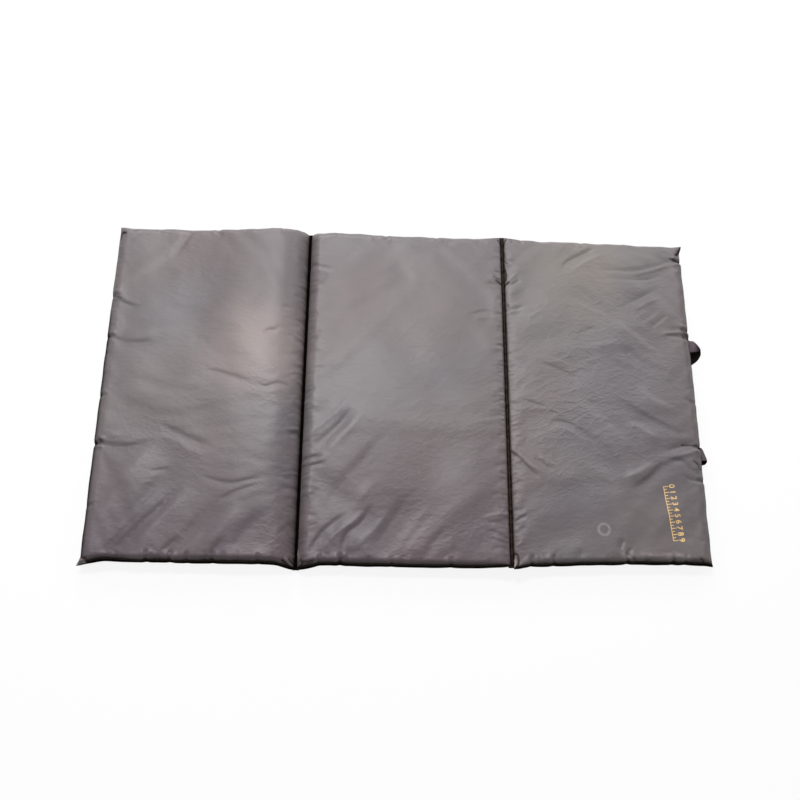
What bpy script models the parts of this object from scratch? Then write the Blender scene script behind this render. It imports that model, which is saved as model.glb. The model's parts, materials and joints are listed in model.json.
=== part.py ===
"""Tri-fold unhooking mat: three foam panels in one coated-nylon cover, laid open on the ground.

The left panel folds under the centre one and the right panel folds over it, so the closed mat is a
stack of three. The left hinge web is sewn low, at the foot of a deep valley. The right one is sewn
high, just under the crowned faces. A webbing carry handle is sewn into the right-hand edge and lies
tucked under it. Metres, +Z up, +Y to the back edge, ground at z = 0.
"""

import math

import bpy
import bmesh
from mathutils import Vector

# Plan of the open mat
LEFT_WIDTH = 0.336
CENTRE_WIDTH = 0.341
RIGHT_WIDTH = 0.323
MAT_DEPTH = 0.598

# Cover and foam
PANEL_THICKNESS = 0.0325
CROWN = 0.0040
SHEET = 0.0006
PLY_GAP = 0.0003
FIT_GAP = 0.0003
LIP = 0.0065
HINGE_MARGIN = 0.0012
DRAW_IN = 0.0022
EAR = 0.0050
EAR_TIP = 0.0030

# Where the two sheets are sewn together, above the ground
EDGE_SEAM_Z = 0.0160
LOW_SEAM_Z = 0.0050
HIGH_SEAM_Z = 0.0285
SEAM_RAMP = 0.0550

# How far in from a seam the cover takes to reach its full height
EDGE_ROLL = 0.0300
UNDER_ROLL = 0.0400
HINGE_ROLL = 0.0240
HINGE_UNDER_ROLL = 0.0180

# The left panel's foam stands up along the low hinge
SWELL = 0.0090
SWELL_ROLL = 0.0700
SWELL_RISE = 0.1300
SWELL_FRONT_SHARE = 0.45

# Hinge webs, and the clearance of a folded pair of faces
WEB_WIDTH = 0.0075
WEB_TAIL = 0.0040
FOLD_CLEARANCE = 0.0005

# Carry handle of flat webbing
HANDLE_WIDTH = 0.0250
HANDLE_THICKNESS = 0.0020
HANDLE_SPAN = 0.2020
HANDLE_REACH = 0.0210
HANDLE_FRONT_REACH = 0.0105
HANDLE_TUCK = 0.0230
HANDLE_GAP = 0.0005

# Lines of the cover's net beside an edge: shares of the roll there, and of the span between rolls
ROLL_SHARES = (0.07, 0.26, 0.56, 1.0)
SPAN_SHARES = (0.33, 0.67)
DEPTH_SHARES = (0.22, 0.5, 0.78)

# Rulings of the webbing, as (out, along, up) of its two edges. Out is a share of the reach where
# positive and of the tuck where negative, along of the webbing's width from the middle of its sewn
# end, and up of the height from the ground to the edge seam.
BACK_TURN_SHARES = (
    ((0.15, 0.50, 1.00), (0.60, -0.50, 1.00)),
    ((0.25, 0.44, 0.96), (0.92, -0.53, 0.94)),
    ((0.29, 0.36, 0.82), (1.00, -0.60, 0.76)),
    ((0.22, 0.24, 0.64), (0.92, -0.75, 0.52)),
    ((-0.15, -0.25, 0.42), (0.62, -1.10, 0.30)),
    ((-0.60, -0.90, 0.19), (0.25, -1.55, 0.13)),
    ((-0.88, -1.70, 0.00), (0.05, -2.10, 0.00)),
    ((-1.00, -2.60, 0.00), (0.03, -2.60, 0.00)),
)
FRONT_TURN_SHARES = (
    ((-1.00, 1.60, 0.00), (0.04, 1.60, 0.00)),
    ((-1.00, 0.75, 0.00), (0.05, 0.70, 0.00)),
    ((-0.90, 0.12, 0.00), (0.06, 0.52, 0.00)),
    ((-0.55, -0.38, 0.00), (0.08, 0.48, 0.00)),
    ((-0.02, -0.58, 0.02), (0.14, 0.47, 0.03)),
    ((0.60, -0.60, 0.14), (0.26, 0.46, 0.14)),
    ((0.92, -0.57, 0.36), (0.44, 0.47, 0.35)),
    ((1.00, -0.53, 0.62), (0.52, 0.48, 0.62)),
    ((0.86, -0.51, 0.86), (0.46, 0.49, 0.86)),
    ((0.50, -0.50, 0.98), (0.30, 0.50, 0.98)),
)
TURN_STEPS = 3
ROUND_STEPS = 3

# Derived places
MAT_WIDTH = LEFT_WIDTH + CENTRE_WIDTH + RIGHT_WIDTH
HALF_DEPTH = MAT_DEPTH / 2
HANDLE_DRAW = DRAW_IN * (1 - (HANDLE_SPAN / MAT_DEPTH) ** 2)
LEFT_EDGE_X = EAR - (MAT_WIDTH + EAR + HANDLE_REACH - HANDLE_DRAW) / 2
LOW_HINGE_X = LEFT_EDGE_X + LEFT_WIDTH
HIGH_HINGE_X = LOW_HINGE_X + CENTRE_WIDTH
RIGHT_EDGE_X = HIGH_HINGE_X + RIGHT_WIDTH
HANDLE_EDGE_X = RIGHT_EDGE_X - HANDLE_DRAW
WEB_SIDE = WEB_WIDTH / 2 + FIT_GAP
TOP_FACE_Z = PANEL_THICKNESS + CROWN
UNDER_FOLD_Z = -FOLD_CLEARANCE
OVER_FOLD_Z = TOP_FACE_Z + FOLD_CLEARANCE
HANDLE_PIVOT_X = HANDLE_EDGE_X + HANDLE_GAP + HANDLE_THICKNESS / 2
HANDLE_REST_Z = FIT_GAP + HANDLE_THICKNESS / 2

CLOTH = ("coated_nylon", (0.150, 0.134, 0.140), 0.48)
UNDERSIDE = ("coated_nylon_underside", (0.060, 0.054, 0.057), 0.62)
WEB_CLOTH = ("hinge_web_cloth", (0.085, 0.070, 0.068), 0.60)
FOAM = ("foam", (0.62, 0.60, 0.55), 0.95)
WEBBING = ("black_webbing", (0.022, 0.018, 0.022), 0.70)


def smooth(share):
    """Goes from 0 to 1 with level ends as the share does."""
    share = min(max(share, 0.0), 1.0)
    return share * share * (3 - 2 * share)


def roll(distance, width):
    """Height share of a rounded edge, 0 on its seam and 1 once past its width."""
    if distance <= 0:
        return 0.0
    rest = max(1 - distance / width, 0.0)
    return math.sqrt(1 - rest * rest)


class Panel:
    """One pocket of the cover: its seams, and the height of each face over any point of its plan."""

    def __init__(self, left, right, left_side, right_side, swell=0.0):
        self.left, self.right = left, right
        self.left_side, self.right_side = left_side, right_side
        self.swell = swell
        self.middle = (left + right) / 2
        self.half = (right - left) / 2

    def seam_height(self, x):
        height = EDGE_SEAM_Z
        height += (self.left_side["seam"] - EDGE_SEAM_Z) * smooth(1 - (x - self.left) / SEAM_RAMP)
        height += (self.right_side["seam"] - EDGE_SEAM_Z) * smooth(1 - (self.right - x) / SEAM_RAMP)
        return height

    def fullness(self, x, y, face):
        """The share of its full height that a face has reached at a point."""
        across = roll(x - self.left - self.left_side["lip"], self.left_side[face])
        across *= roll(self.right - self.right_side["lip"] - x, self.right_side[face])
        ends = EDGE_ROLL if face == "top" else UNDER_ROLL
        return across * roll(HALF_DEPTH - LIP - abs(y), ends)

    def top_height(self, x, y):
        across = (x - self.middle) / self.half
        along = y / HALF_DEPTH
        height = PANEL_THICKNESS - SHEET + CROWN * (1 - across**2) * (1 - along**2)
        if self.swell:
            lift = smooth((x - self.right + SWELL_ROLL + SWELL_RISE) / SWELL_RISE)
            height += self.swell * lift * (SWELL_FRONT_SHARE + (1 - SWELL_FRONT_SHARE) * (1 + along) / 2)
        return height

    def drawn_in(self, x, y):
        """Pulls the free edges in between the corners, and the two outer corners out into ears."""
        across = (x - self.middle) / self.half
        along = y / HALF_DEPTH
        moved_y = y * (1 - DRAW_IN * (1 - across**2) / HALF_DEPTH)
        moved_x = x
        for side, edge, fixed in ((self.left_side, self.left, self.right), (self.right_side, self.right, self.left)):
            if not side["free"]:
                continue
            reach = (x - fixed) / (edge - fixed)
            moved_x -= (edge - fixed) / abs(edge - fixed) * DRAW_IN * (1 - along**2) * reach
            if abs(x - edge) < LIP / 2 and abs(y) > HALF_DEPTH - LIP / 2:
                moved_x += math.copysign(EAR, edge - fixed)
                moved_y += math.copysign(EAR_TIP, y)
        return moved_x, moved_y

    def point(self, x, y, face):
        """A point on the inner side of a face's sheet."""
        seam = self.seam_height(x)
        full = self.fullness(x, y, face)
        if face == "top":
            z = seam + PLY_GAP / 2 + full * (self.top_height(x, y) - seam - PLY_GAP / 2)
        else:
            z = seam - PLY_GAP / 2 - full * (seam - PLY_GAP / 2 - SHEET)
        moved_x, moved_y = self.drawn_in(x, y)
        return Vector((moved_x, moved_y, z))

    def inset_point(self, x, y, face, depth):
        """A point at a depth under the inner side of a face's sheet."""
        step = FIT_GAP
        along_x = self.point(x + step, y, face) - self.point(x - step, y, face)
        along_y = self.point(x, y + step, face) - self.point(x, y - step, face)
        outward = along_x.cross(along_y).normalized()
        if face == "under":
            outward.negate()
        return self.point(x, y, face) - outward * depth

    def lines_across(self):
        return edge_lines(self.left, self.left_side) + span_lines(self) + edge_lines(self.right, self.right_side)[::-1]


def edge_lines(edge, side):
    """Lines of the net from one side's edge inwards, where its rolled border bends most."""
    inward = 1 if side["faces"] == "left" else -1
    seam = edge + inward * side["lip"]
    return [edge, seam] + [seam + inward * share * side["roll_lines"] for share in ROLL_SHARES]


def span_lines(panel):
    first = edge_lines(panel.left, panel.left_side)[-1]
    last = edge_lines(panel.right, panel.right_side)[-1]
    return [first + share * (last - first) for share in SPAN_SHARES]


def lines_along():
    border = [HALF_DEPTH, HALF_DEPTH - LIP] + [HALF_DEPTH - LIP - share * UNDER_ROLL for share in ROLL_SHARES]
    reach = border[-1]
    middle = [reach * (2 * share - 1) for share in DEPTH_SHARES]
    return [-y for y in border] + middle + border[::-1]


def free_side(faces):
    """A side that ends in the sewn lip round the mat."""
    return {
        "faces": faces, "free": True, "lip": LIP, "seam": EDGE_SEAM_Z,
        "top": EDGE_ROLL, "under": UNDER_ROLL, "roll_lines": UNDER_ROLL,
    }


def hinge_side(faces, seam, top_roll=HINGE_ROLL):
    """A side that is sewn to a hinge web."""
    return {
        "faces": faces, "free": False, "lip": HINGE_MARGIN, "seam": seam,
        "top": top_roll, "under": HINGE_UNDER_ROLL, "roll_lines": top_roll,
    }


PANELS = {
    "left": Panel(
        LEFT_EDGE_X, LOW_HINGE_X - WEB_SIDE,
        free_side("left"), hinge_side("right", LOW_SEAM_Z, SWELL_ROLL), SWELL,
    ),
    "centre": Panel(
        LOW_HINGE_X + WEB_SIDE, HIGH_HINGE_X - WEB_SIDE,
        hinge_side("left", LOW_SEAM_Z), hinge_side("right", HIGH_SEAM_Z),
    ),
    "right": Panel(
        HIGH_HINGE_X + WEB_SIDE, RIGHT_EDGE_X,
        hinge_side("left", HIGH_SEAM_Z), free_side("right"),
    ),
}


def clear_scene():
    for obj in list(bpy.data.objects):
        bpy.data.objects.remove(obj, do_unlink=True)


def principled(finish):
    name, colour, roughness = finish
    material = bpy.data.materials.new(name)
    material.use_nodes = True
    shader = material.node_tree.nodes["Principled BSDF"]
    shader.inputs["Base Color"].default_value = (*colour, 1.0)
    shader.inputs["Roughness"].default_value = roughness
    material.diffuse_color = (*colour, 1.0)
    return material


def finished(name, bm, finish, sharp=math.radians(50)):
    """Turns a bmesh into a smooth-shaded object with its own material."""
    bmesh.ops.recalc_face_normals(bm, faces=bm.faces)
    mesh = bpy.data.meshes.new(name)
    bm.to_mesh(mesh)
    bm.free()
    mesh.shade_smooth()
    mesh.set_sharp_from_angle(angle=sharp)
    mesh.materials.append(principled(finish))
    obj = bpy.data.objects.new(name, mesh)
    bpy.context.scene.collection.objects.link(obj)
    return obj


def net(bm, columns, rows, place):
    """A grid of vertices and the quads between them, each vertex put where place says."""
    verts = [[bm.verts.new(place(x, y)) for y in rows] for x in columns]
    for i in range(len(columns) - 1):
        for j in range(len(rows) - 1):
            bm.faces.new((verts[i][j], verts[i + 1][j], verts[i + 1][j + 1], verts[i][j + 1]))
    return verts


def border(verts):
    """The vertices round a net's edge, in order."""
    return (
        [column[0] for column in verts] + verts[-1][1:]
        + [column[-1] for column in verts[-2::-1]] + verts[0][-2:0:-1]
    )


def cover_sheet(name, panel, face, finish):
    """One face of a pocket with its half of the sewn lip, a sheet as thick as the cloth."""
    bm = bmesh.new()
    net(bm, panel.lines_across(), lines_along(), lambda x, y: panel.point(x, y, face))
    if face == "under":
        bmesh.ops.reverse_faces(bm, faces=bm.faces)
    mesh = bpy.data.meshes.new(name)
    bm.to_mesh(mesh)
    bm.free()
    mesh.shade_smooth()
    mesh.materials.append(principled(finish))
    obj = bpy.data.objects.new(name, mesh)
    bpy.context.scene.collection.objects.link(obj)
    cloth = obj.modifiers.new("cloth", "SOLIDIFY")
    cloth.thickness = SHEET
    cloth.offset = 1.0
    return obj


def foam_slab(name, panel):
    """The foam that fills a pocket, with the pocket's crown and its rounded border."""
    bm = bmesh.new()
    columns, rows = panel.lines_across()[2:-2], lines_along()[2:-2]
    top = net(bm, columns, rows, lambda x, y: panel.inset_point(x, y, "top", FIT_GAP))
    under = net(bm, columns, rows, lambda x, y: panel.inset_point(x, y, "under", FIT_GAP))
    upper, lower = border(top), border(under)
    for k in range(len(upper)):
        following = (k + 1) % len(upper)
        bm.faces.new((upper[k], upper[following], lower[following], lower[k]))
    return finished(name, bm, FOAM, math.radians(70))


def hinge_web(name, hinge_x, height):
    """The flat strip between two rows of stitches, where both sheets are sewn to each other."""
    bm = bmesh.new()
    ends = [-HALF_DEPTH - WEB_TAIL] + lines_along()[1:-1] + [HALF_DEPTH + WEB_TAIL]
    edges = (hinge_x - WEB_WIDTH / 2, hinge_x, hinge_x + WEB_WIDTH / 2)
    net(bm, edges, ends, lambda x, y: (x, y, height - SHEET - PLY_GAP / 2))
    raised = bmesh.ops.extrude_face_region(bm, geom=bm.faces[:])
    moved = [part for part in raised["geom"] if isinstance(part, bmesh.types.BMVert)]
    bmesh.ops.translate(bm, verts=moved, vec=(0, 0, 2 * SHEET + PLY_GAP))
    return finished(name, bm, WEB_CLOTH)


def webbing_edge(place, end_y, reach):
    """A point of the webbing's edge from its shares."""
    out, along, up = place
    side = out * (reach - HANDLE_THICKNESS / 2) if out > 0 else out * HANDLE_TUCK
    height = HANDLE_REST_Z + up * (EDGE_SEAM_Z - HANDLE_REST_Z)
    return Vector((HANDLE_EDGE_X + side, end_y + along * HANDLE_WIDTH, height))


def handle_rulings():
    """Pairs of edge points along the webbing, from its back end round to its front end."""
    back_y, front_y = HANDLE_SPAN / 2, -HANDLE_SPAN / 2
    half = HANDLE_WIDTH / 2
    pairs = [(Vector((HANDLE_PIVOT_X, back_y + half, EDGE_SEAM_Z)), Vector((HANDLE_PIVOT_X, back_y - half, EDGE_SEAM_Z)))]
    for edges in BACK_TURN_SHARES:
        pairs.append(tuple(webbing_edge(edge, back_y, HANDLE_REACH) for edge in edges))
    for edges in FRONT_TURN_SHARES:
        pairs.append(tuple(webbing_edge(edge, front_y, HANDLE_FRONT_REACH) for edge in edges))
    pairs.append((Vector((HANDLE_PIVOT_X, front_y - half, EDGE_SEAM_Z)), Vector((HANDLE_PIVOT_X, front_y + half, EDGE_SEAM_Z))))
    return pairs


def curve_through(points, steps):
    """A smooth curve through the points, with that many steps from each to the next."""
    smooth_points = []
    for k in range(len(points) - 1):
        before = points[max(k - 1, 0)]
        start, end = points[k], points[k + 1]
        after = points[min(k + 2, len(points) - 1)]
        for step in range(steps):
            t = step / steps
            smooth_points.append(
                ((2 * start) + (end - before) * t + (2 * before - 5 * start + 4 * end - after) * t**2
                 + (3 * start - before - 3 * end + after) * t**3) / 2
            )
    return smooth_points + [points[-1]]


def carry_handle(name):
    """Flat webbing lofted through its rulings, with rounded ends that turn in the edge seam."""
    pairs = handle_rulings()
    first = curve_through([pair[0] for pair in pairs], TURN_STEPS)
    second = curve_through([pair[1] for pair in pairs], TURN_STEPS)
    sections = []
    for k, (a, b) in enumerate(zip(first, second)):
        low, high = max(k - 1, 0), min(k + 1, len(first) - 1)
        travel = (first[high] + second[high] - first[low] - second[low]).normalized()
        normal = travel.cross(b - a).normalized()
        sections.append((a, b, normal, travel, HANDLE_THICKNESS / 2))
    rounded = []
    for end, outward in ((sections[0], -1), (sections[-1], 1)):
        a, b, _, travel, half = end
        flat = Vector((math.copysign(1, travel.x), 0, 0))
        normal = flat.cross(b - a).normalized()
        turned = []
        for step in range(1, ROUND_STEPS):
            angle = math.pi / 2 * step / ROUND_STEPS
            shift = flat * outward * half * math.sin(angle)
            turned.append((a + shift, b + shift, normal, flat, half * math.cos(angle)))
        rounded.append(turned)
    sections = rounded[0][::-1] + sections + rounded[1]
    bm = bmesh.new()
    loops = []
    for a, b, normal, _, half in sections:
        offset = normal * half
        loops.append([bm.verts.new(corner) for corner in (a - offset, b - offset, b + offset, a + offset)])
    for one, other in zip(loops, loops[1:]):
        for side in range(4):
            after = (side + 1) % 4
            bm.faces.new((one[side], one[after], other[after], other[side]))
    bm.faces.new(loops[0])
    bm.faces.new(loops[-1][::-1])
    bmesh.ops.triangulate(bm, faces=bm.faces)
    return finished(name, bm, WEBBING, math.radians(40))


def main():
    clear_scene()
    for side, panel in PANELS.items():
        foam_slab(f"{side}_foam_slab", panel)
        cover_sheet(f"{side}_top_sheet", panel, "top", CLOTH)
        cover_sheet(f"{side}_bottom_sheet", panel, "under", UNDERSIDE)
    hinge_web("low_hinge_web", LOW_HINGE_X, LOW_SEAM_Z)
    hinge_web("high_hinge_web", HIGH_HINGE_X, HIGH_SEAM_Z)
    carry_handle("carry_handle")
    print("fold under axis", LOW_HINGE_X, UNDER_FOLD_Z, "fold over axis", HIGH_HINGE_X, OVER_FOLD_Z)
    print("handle axis", HANDLE_PIVOT_X, EDGE_SEAM_Z, "edge there", HANDLE_EDGE_X)


main()
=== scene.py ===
"""Looks of a tri-fold unhooking mat: crowned nylon pockets over foam, two sewn hinges and a carry handle."""

import json
import math

import bpy
import numpy as np
from bpy.props import FloatProperty, FloatVectorProperty, PointerProperty
from mathutils import Matrix, Vector


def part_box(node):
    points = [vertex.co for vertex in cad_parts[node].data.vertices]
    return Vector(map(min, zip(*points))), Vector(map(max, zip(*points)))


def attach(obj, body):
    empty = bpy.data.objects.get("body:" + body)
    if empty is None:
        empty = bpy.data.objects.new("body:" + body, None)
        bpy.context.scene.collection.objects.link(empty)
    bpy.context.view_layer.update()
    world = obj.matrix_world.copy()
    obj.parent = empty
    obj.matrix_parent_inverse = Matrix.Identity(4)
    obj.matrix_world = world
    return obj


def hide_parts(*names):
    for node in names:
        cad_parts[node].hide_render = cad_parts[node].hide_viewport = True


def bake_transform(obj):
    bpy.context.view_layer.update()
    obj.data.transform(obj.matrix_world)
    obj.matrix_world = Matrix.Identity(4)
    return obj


bl_info = {
    "name": "Unhooking mat",
    "version": (1, 0, 0),
    "blender": (4, 5, 0),
    "location": "View3D > Sidebar > Mat",
    "description": "Builds the cover, foam, hinges, stitching, handle and stage of a folding unhooking mat",
    "category": "Object",
}

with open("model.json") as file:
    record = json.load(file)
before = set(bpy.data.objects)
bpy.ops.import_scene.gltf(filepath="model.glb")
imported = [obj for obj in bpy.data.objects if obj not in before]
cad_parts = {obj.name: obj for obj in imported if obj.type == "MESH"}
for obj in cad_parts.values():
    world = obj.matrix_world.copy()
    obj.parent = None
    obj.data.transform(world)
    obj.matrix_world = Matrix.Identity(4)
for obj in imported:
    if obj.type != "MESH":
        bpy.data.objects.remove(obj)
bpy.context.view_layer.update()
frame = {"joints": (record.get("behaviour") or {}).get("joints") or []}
MM = 0.001

# Finished cover faces and materials, kept for the next piece that needs them
COVERS = {}
FINISHES = {}

# Places read from the frame
JOINTS = {joint["name"]: joint for joint in frame["joints"]}
HANDLE_PIVOT = Vector(JOINTS["handle_lift"]["pos_m"])
OVER_FOLD_Z = JOINTS["fold_over"]["pos_m"][2]
WEBS = {"low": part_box("low_hinge_web"), "high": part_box("high_hinge_web")}
SHEETS = {name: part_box(name + "_top_sheet") for name in ("left", "centre", "right")}
HALF_DEPTH = SHEETS["centre"][1].y

# Construction of the cover, in metres
EAR = 5.0 * MM
EAR_TIP = 3.0 * MM
EAR_SPREAD = 16.0 * MM
LIP = 2.0 * MM
HINGE_MARGIN = 0.6 * MM
HINGE_OVERHANG = 1.3 * MM
PLY = 0.75 * MM
DRAW_IN = -1.2 * MM
CROWN = 4.0 * MM
FOLD_CLEARANCE = 0.5 * MM
EDGE_SEAM_Z = HANDLE_PIVOT.z
LOW_SEAM_Z = (WEBS["low"][0].z + WEBS["low"][1].z) / 2
HIGH_SEAM_Z = (WEBS["high"][0].z + WEBS["high"][1].z) / 2
PANEL_THICKNESS = OVER_FOLD_Z - FOLD_CLEARANCE - CROWN
SEAM_RAMP = 55.0 * MM
EDGE_ROLL = 17.0 * MM
FRONT_ROLL = 9.0 * MM
UNDER_ROLL = 14.0 * MM
HANDLE_UNDER_ROLL = 80.0 * MM
HINGE_ROLL = 17.0 * MM
HINGE_UNDER_ROLL = 14.0 * MM
ROLL_POWERS = {"top": 2.4, "under": 2.0}
WALL_BULGE = 2.0 * MM
WALL_BULGE_REACH = 9.0 * MM
WALL_HEIGHT = 28.0 * MM
SWELL = 16.0 * MM
SWELL_ROLL = 66.0 * MM
SWELL_RISE = 150.0 * MM
SWELL_FRONT_SHARE = 0.30
EAR_SHARES = {("left", -1): 1.0, ("left", 1): 0.15, ("right", -1): 0.45, ("right", 1): 1.0}
# How far a corner's end lies out of line, and over what width, by panel, side and end
CORNER_SHIFTS = {
    ("left", -1): {1: (6.0 * MM, 130.0 * MM), -1: (6.0 * MM, 32.0 * MM)},
    ("centre", 1): {1: (5.0 * MM, 170.0 * MM), -1: (5.5 * MM, 42.0 * MM)},
    ("right", 1): {-1: (4.0 * MM, 30.0 * MM)},
    ("left", 1): {1: (3.5 * MM, 22.0 * MM), -1: (5.5 * MM, 42.0 * MM)},
    ("right", -1): {1: (2.0 * MM, 24.0 * MM)},
}
# How much shallower a panel is at its right side, at the front and at the back, and how far its front bows in
TAPERS = {"right": (10.0 * MM, 5.0 * MM)}
FRONT_BOWS = {"right": 5.0 * MM}
# How blunt an ear is, by panel and end: a lower power is blunter
EAR_POWER = 2.0
EAR_POWERS = {("right", 1): 1.1}
# Steepness and start of a corner's shift along the depth
CORNER_RAMP = (1.4, 0.4)
UNDER_CLEARANCE = 0.3 * MM

# The cover's net: close lines beside a seam, even ones between
SEAM_STEPS = tuple(step * MM for step in (0.0, 0.15, 0.4, 0.8, 1.4, 2.2, 3.2, 4.5, 6.0, 7.8, 9.8))
LIP_SHARES = (0.0, 0.12, 0.45, 0.8)
NET_STEP = 1.8 * MM

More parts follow.
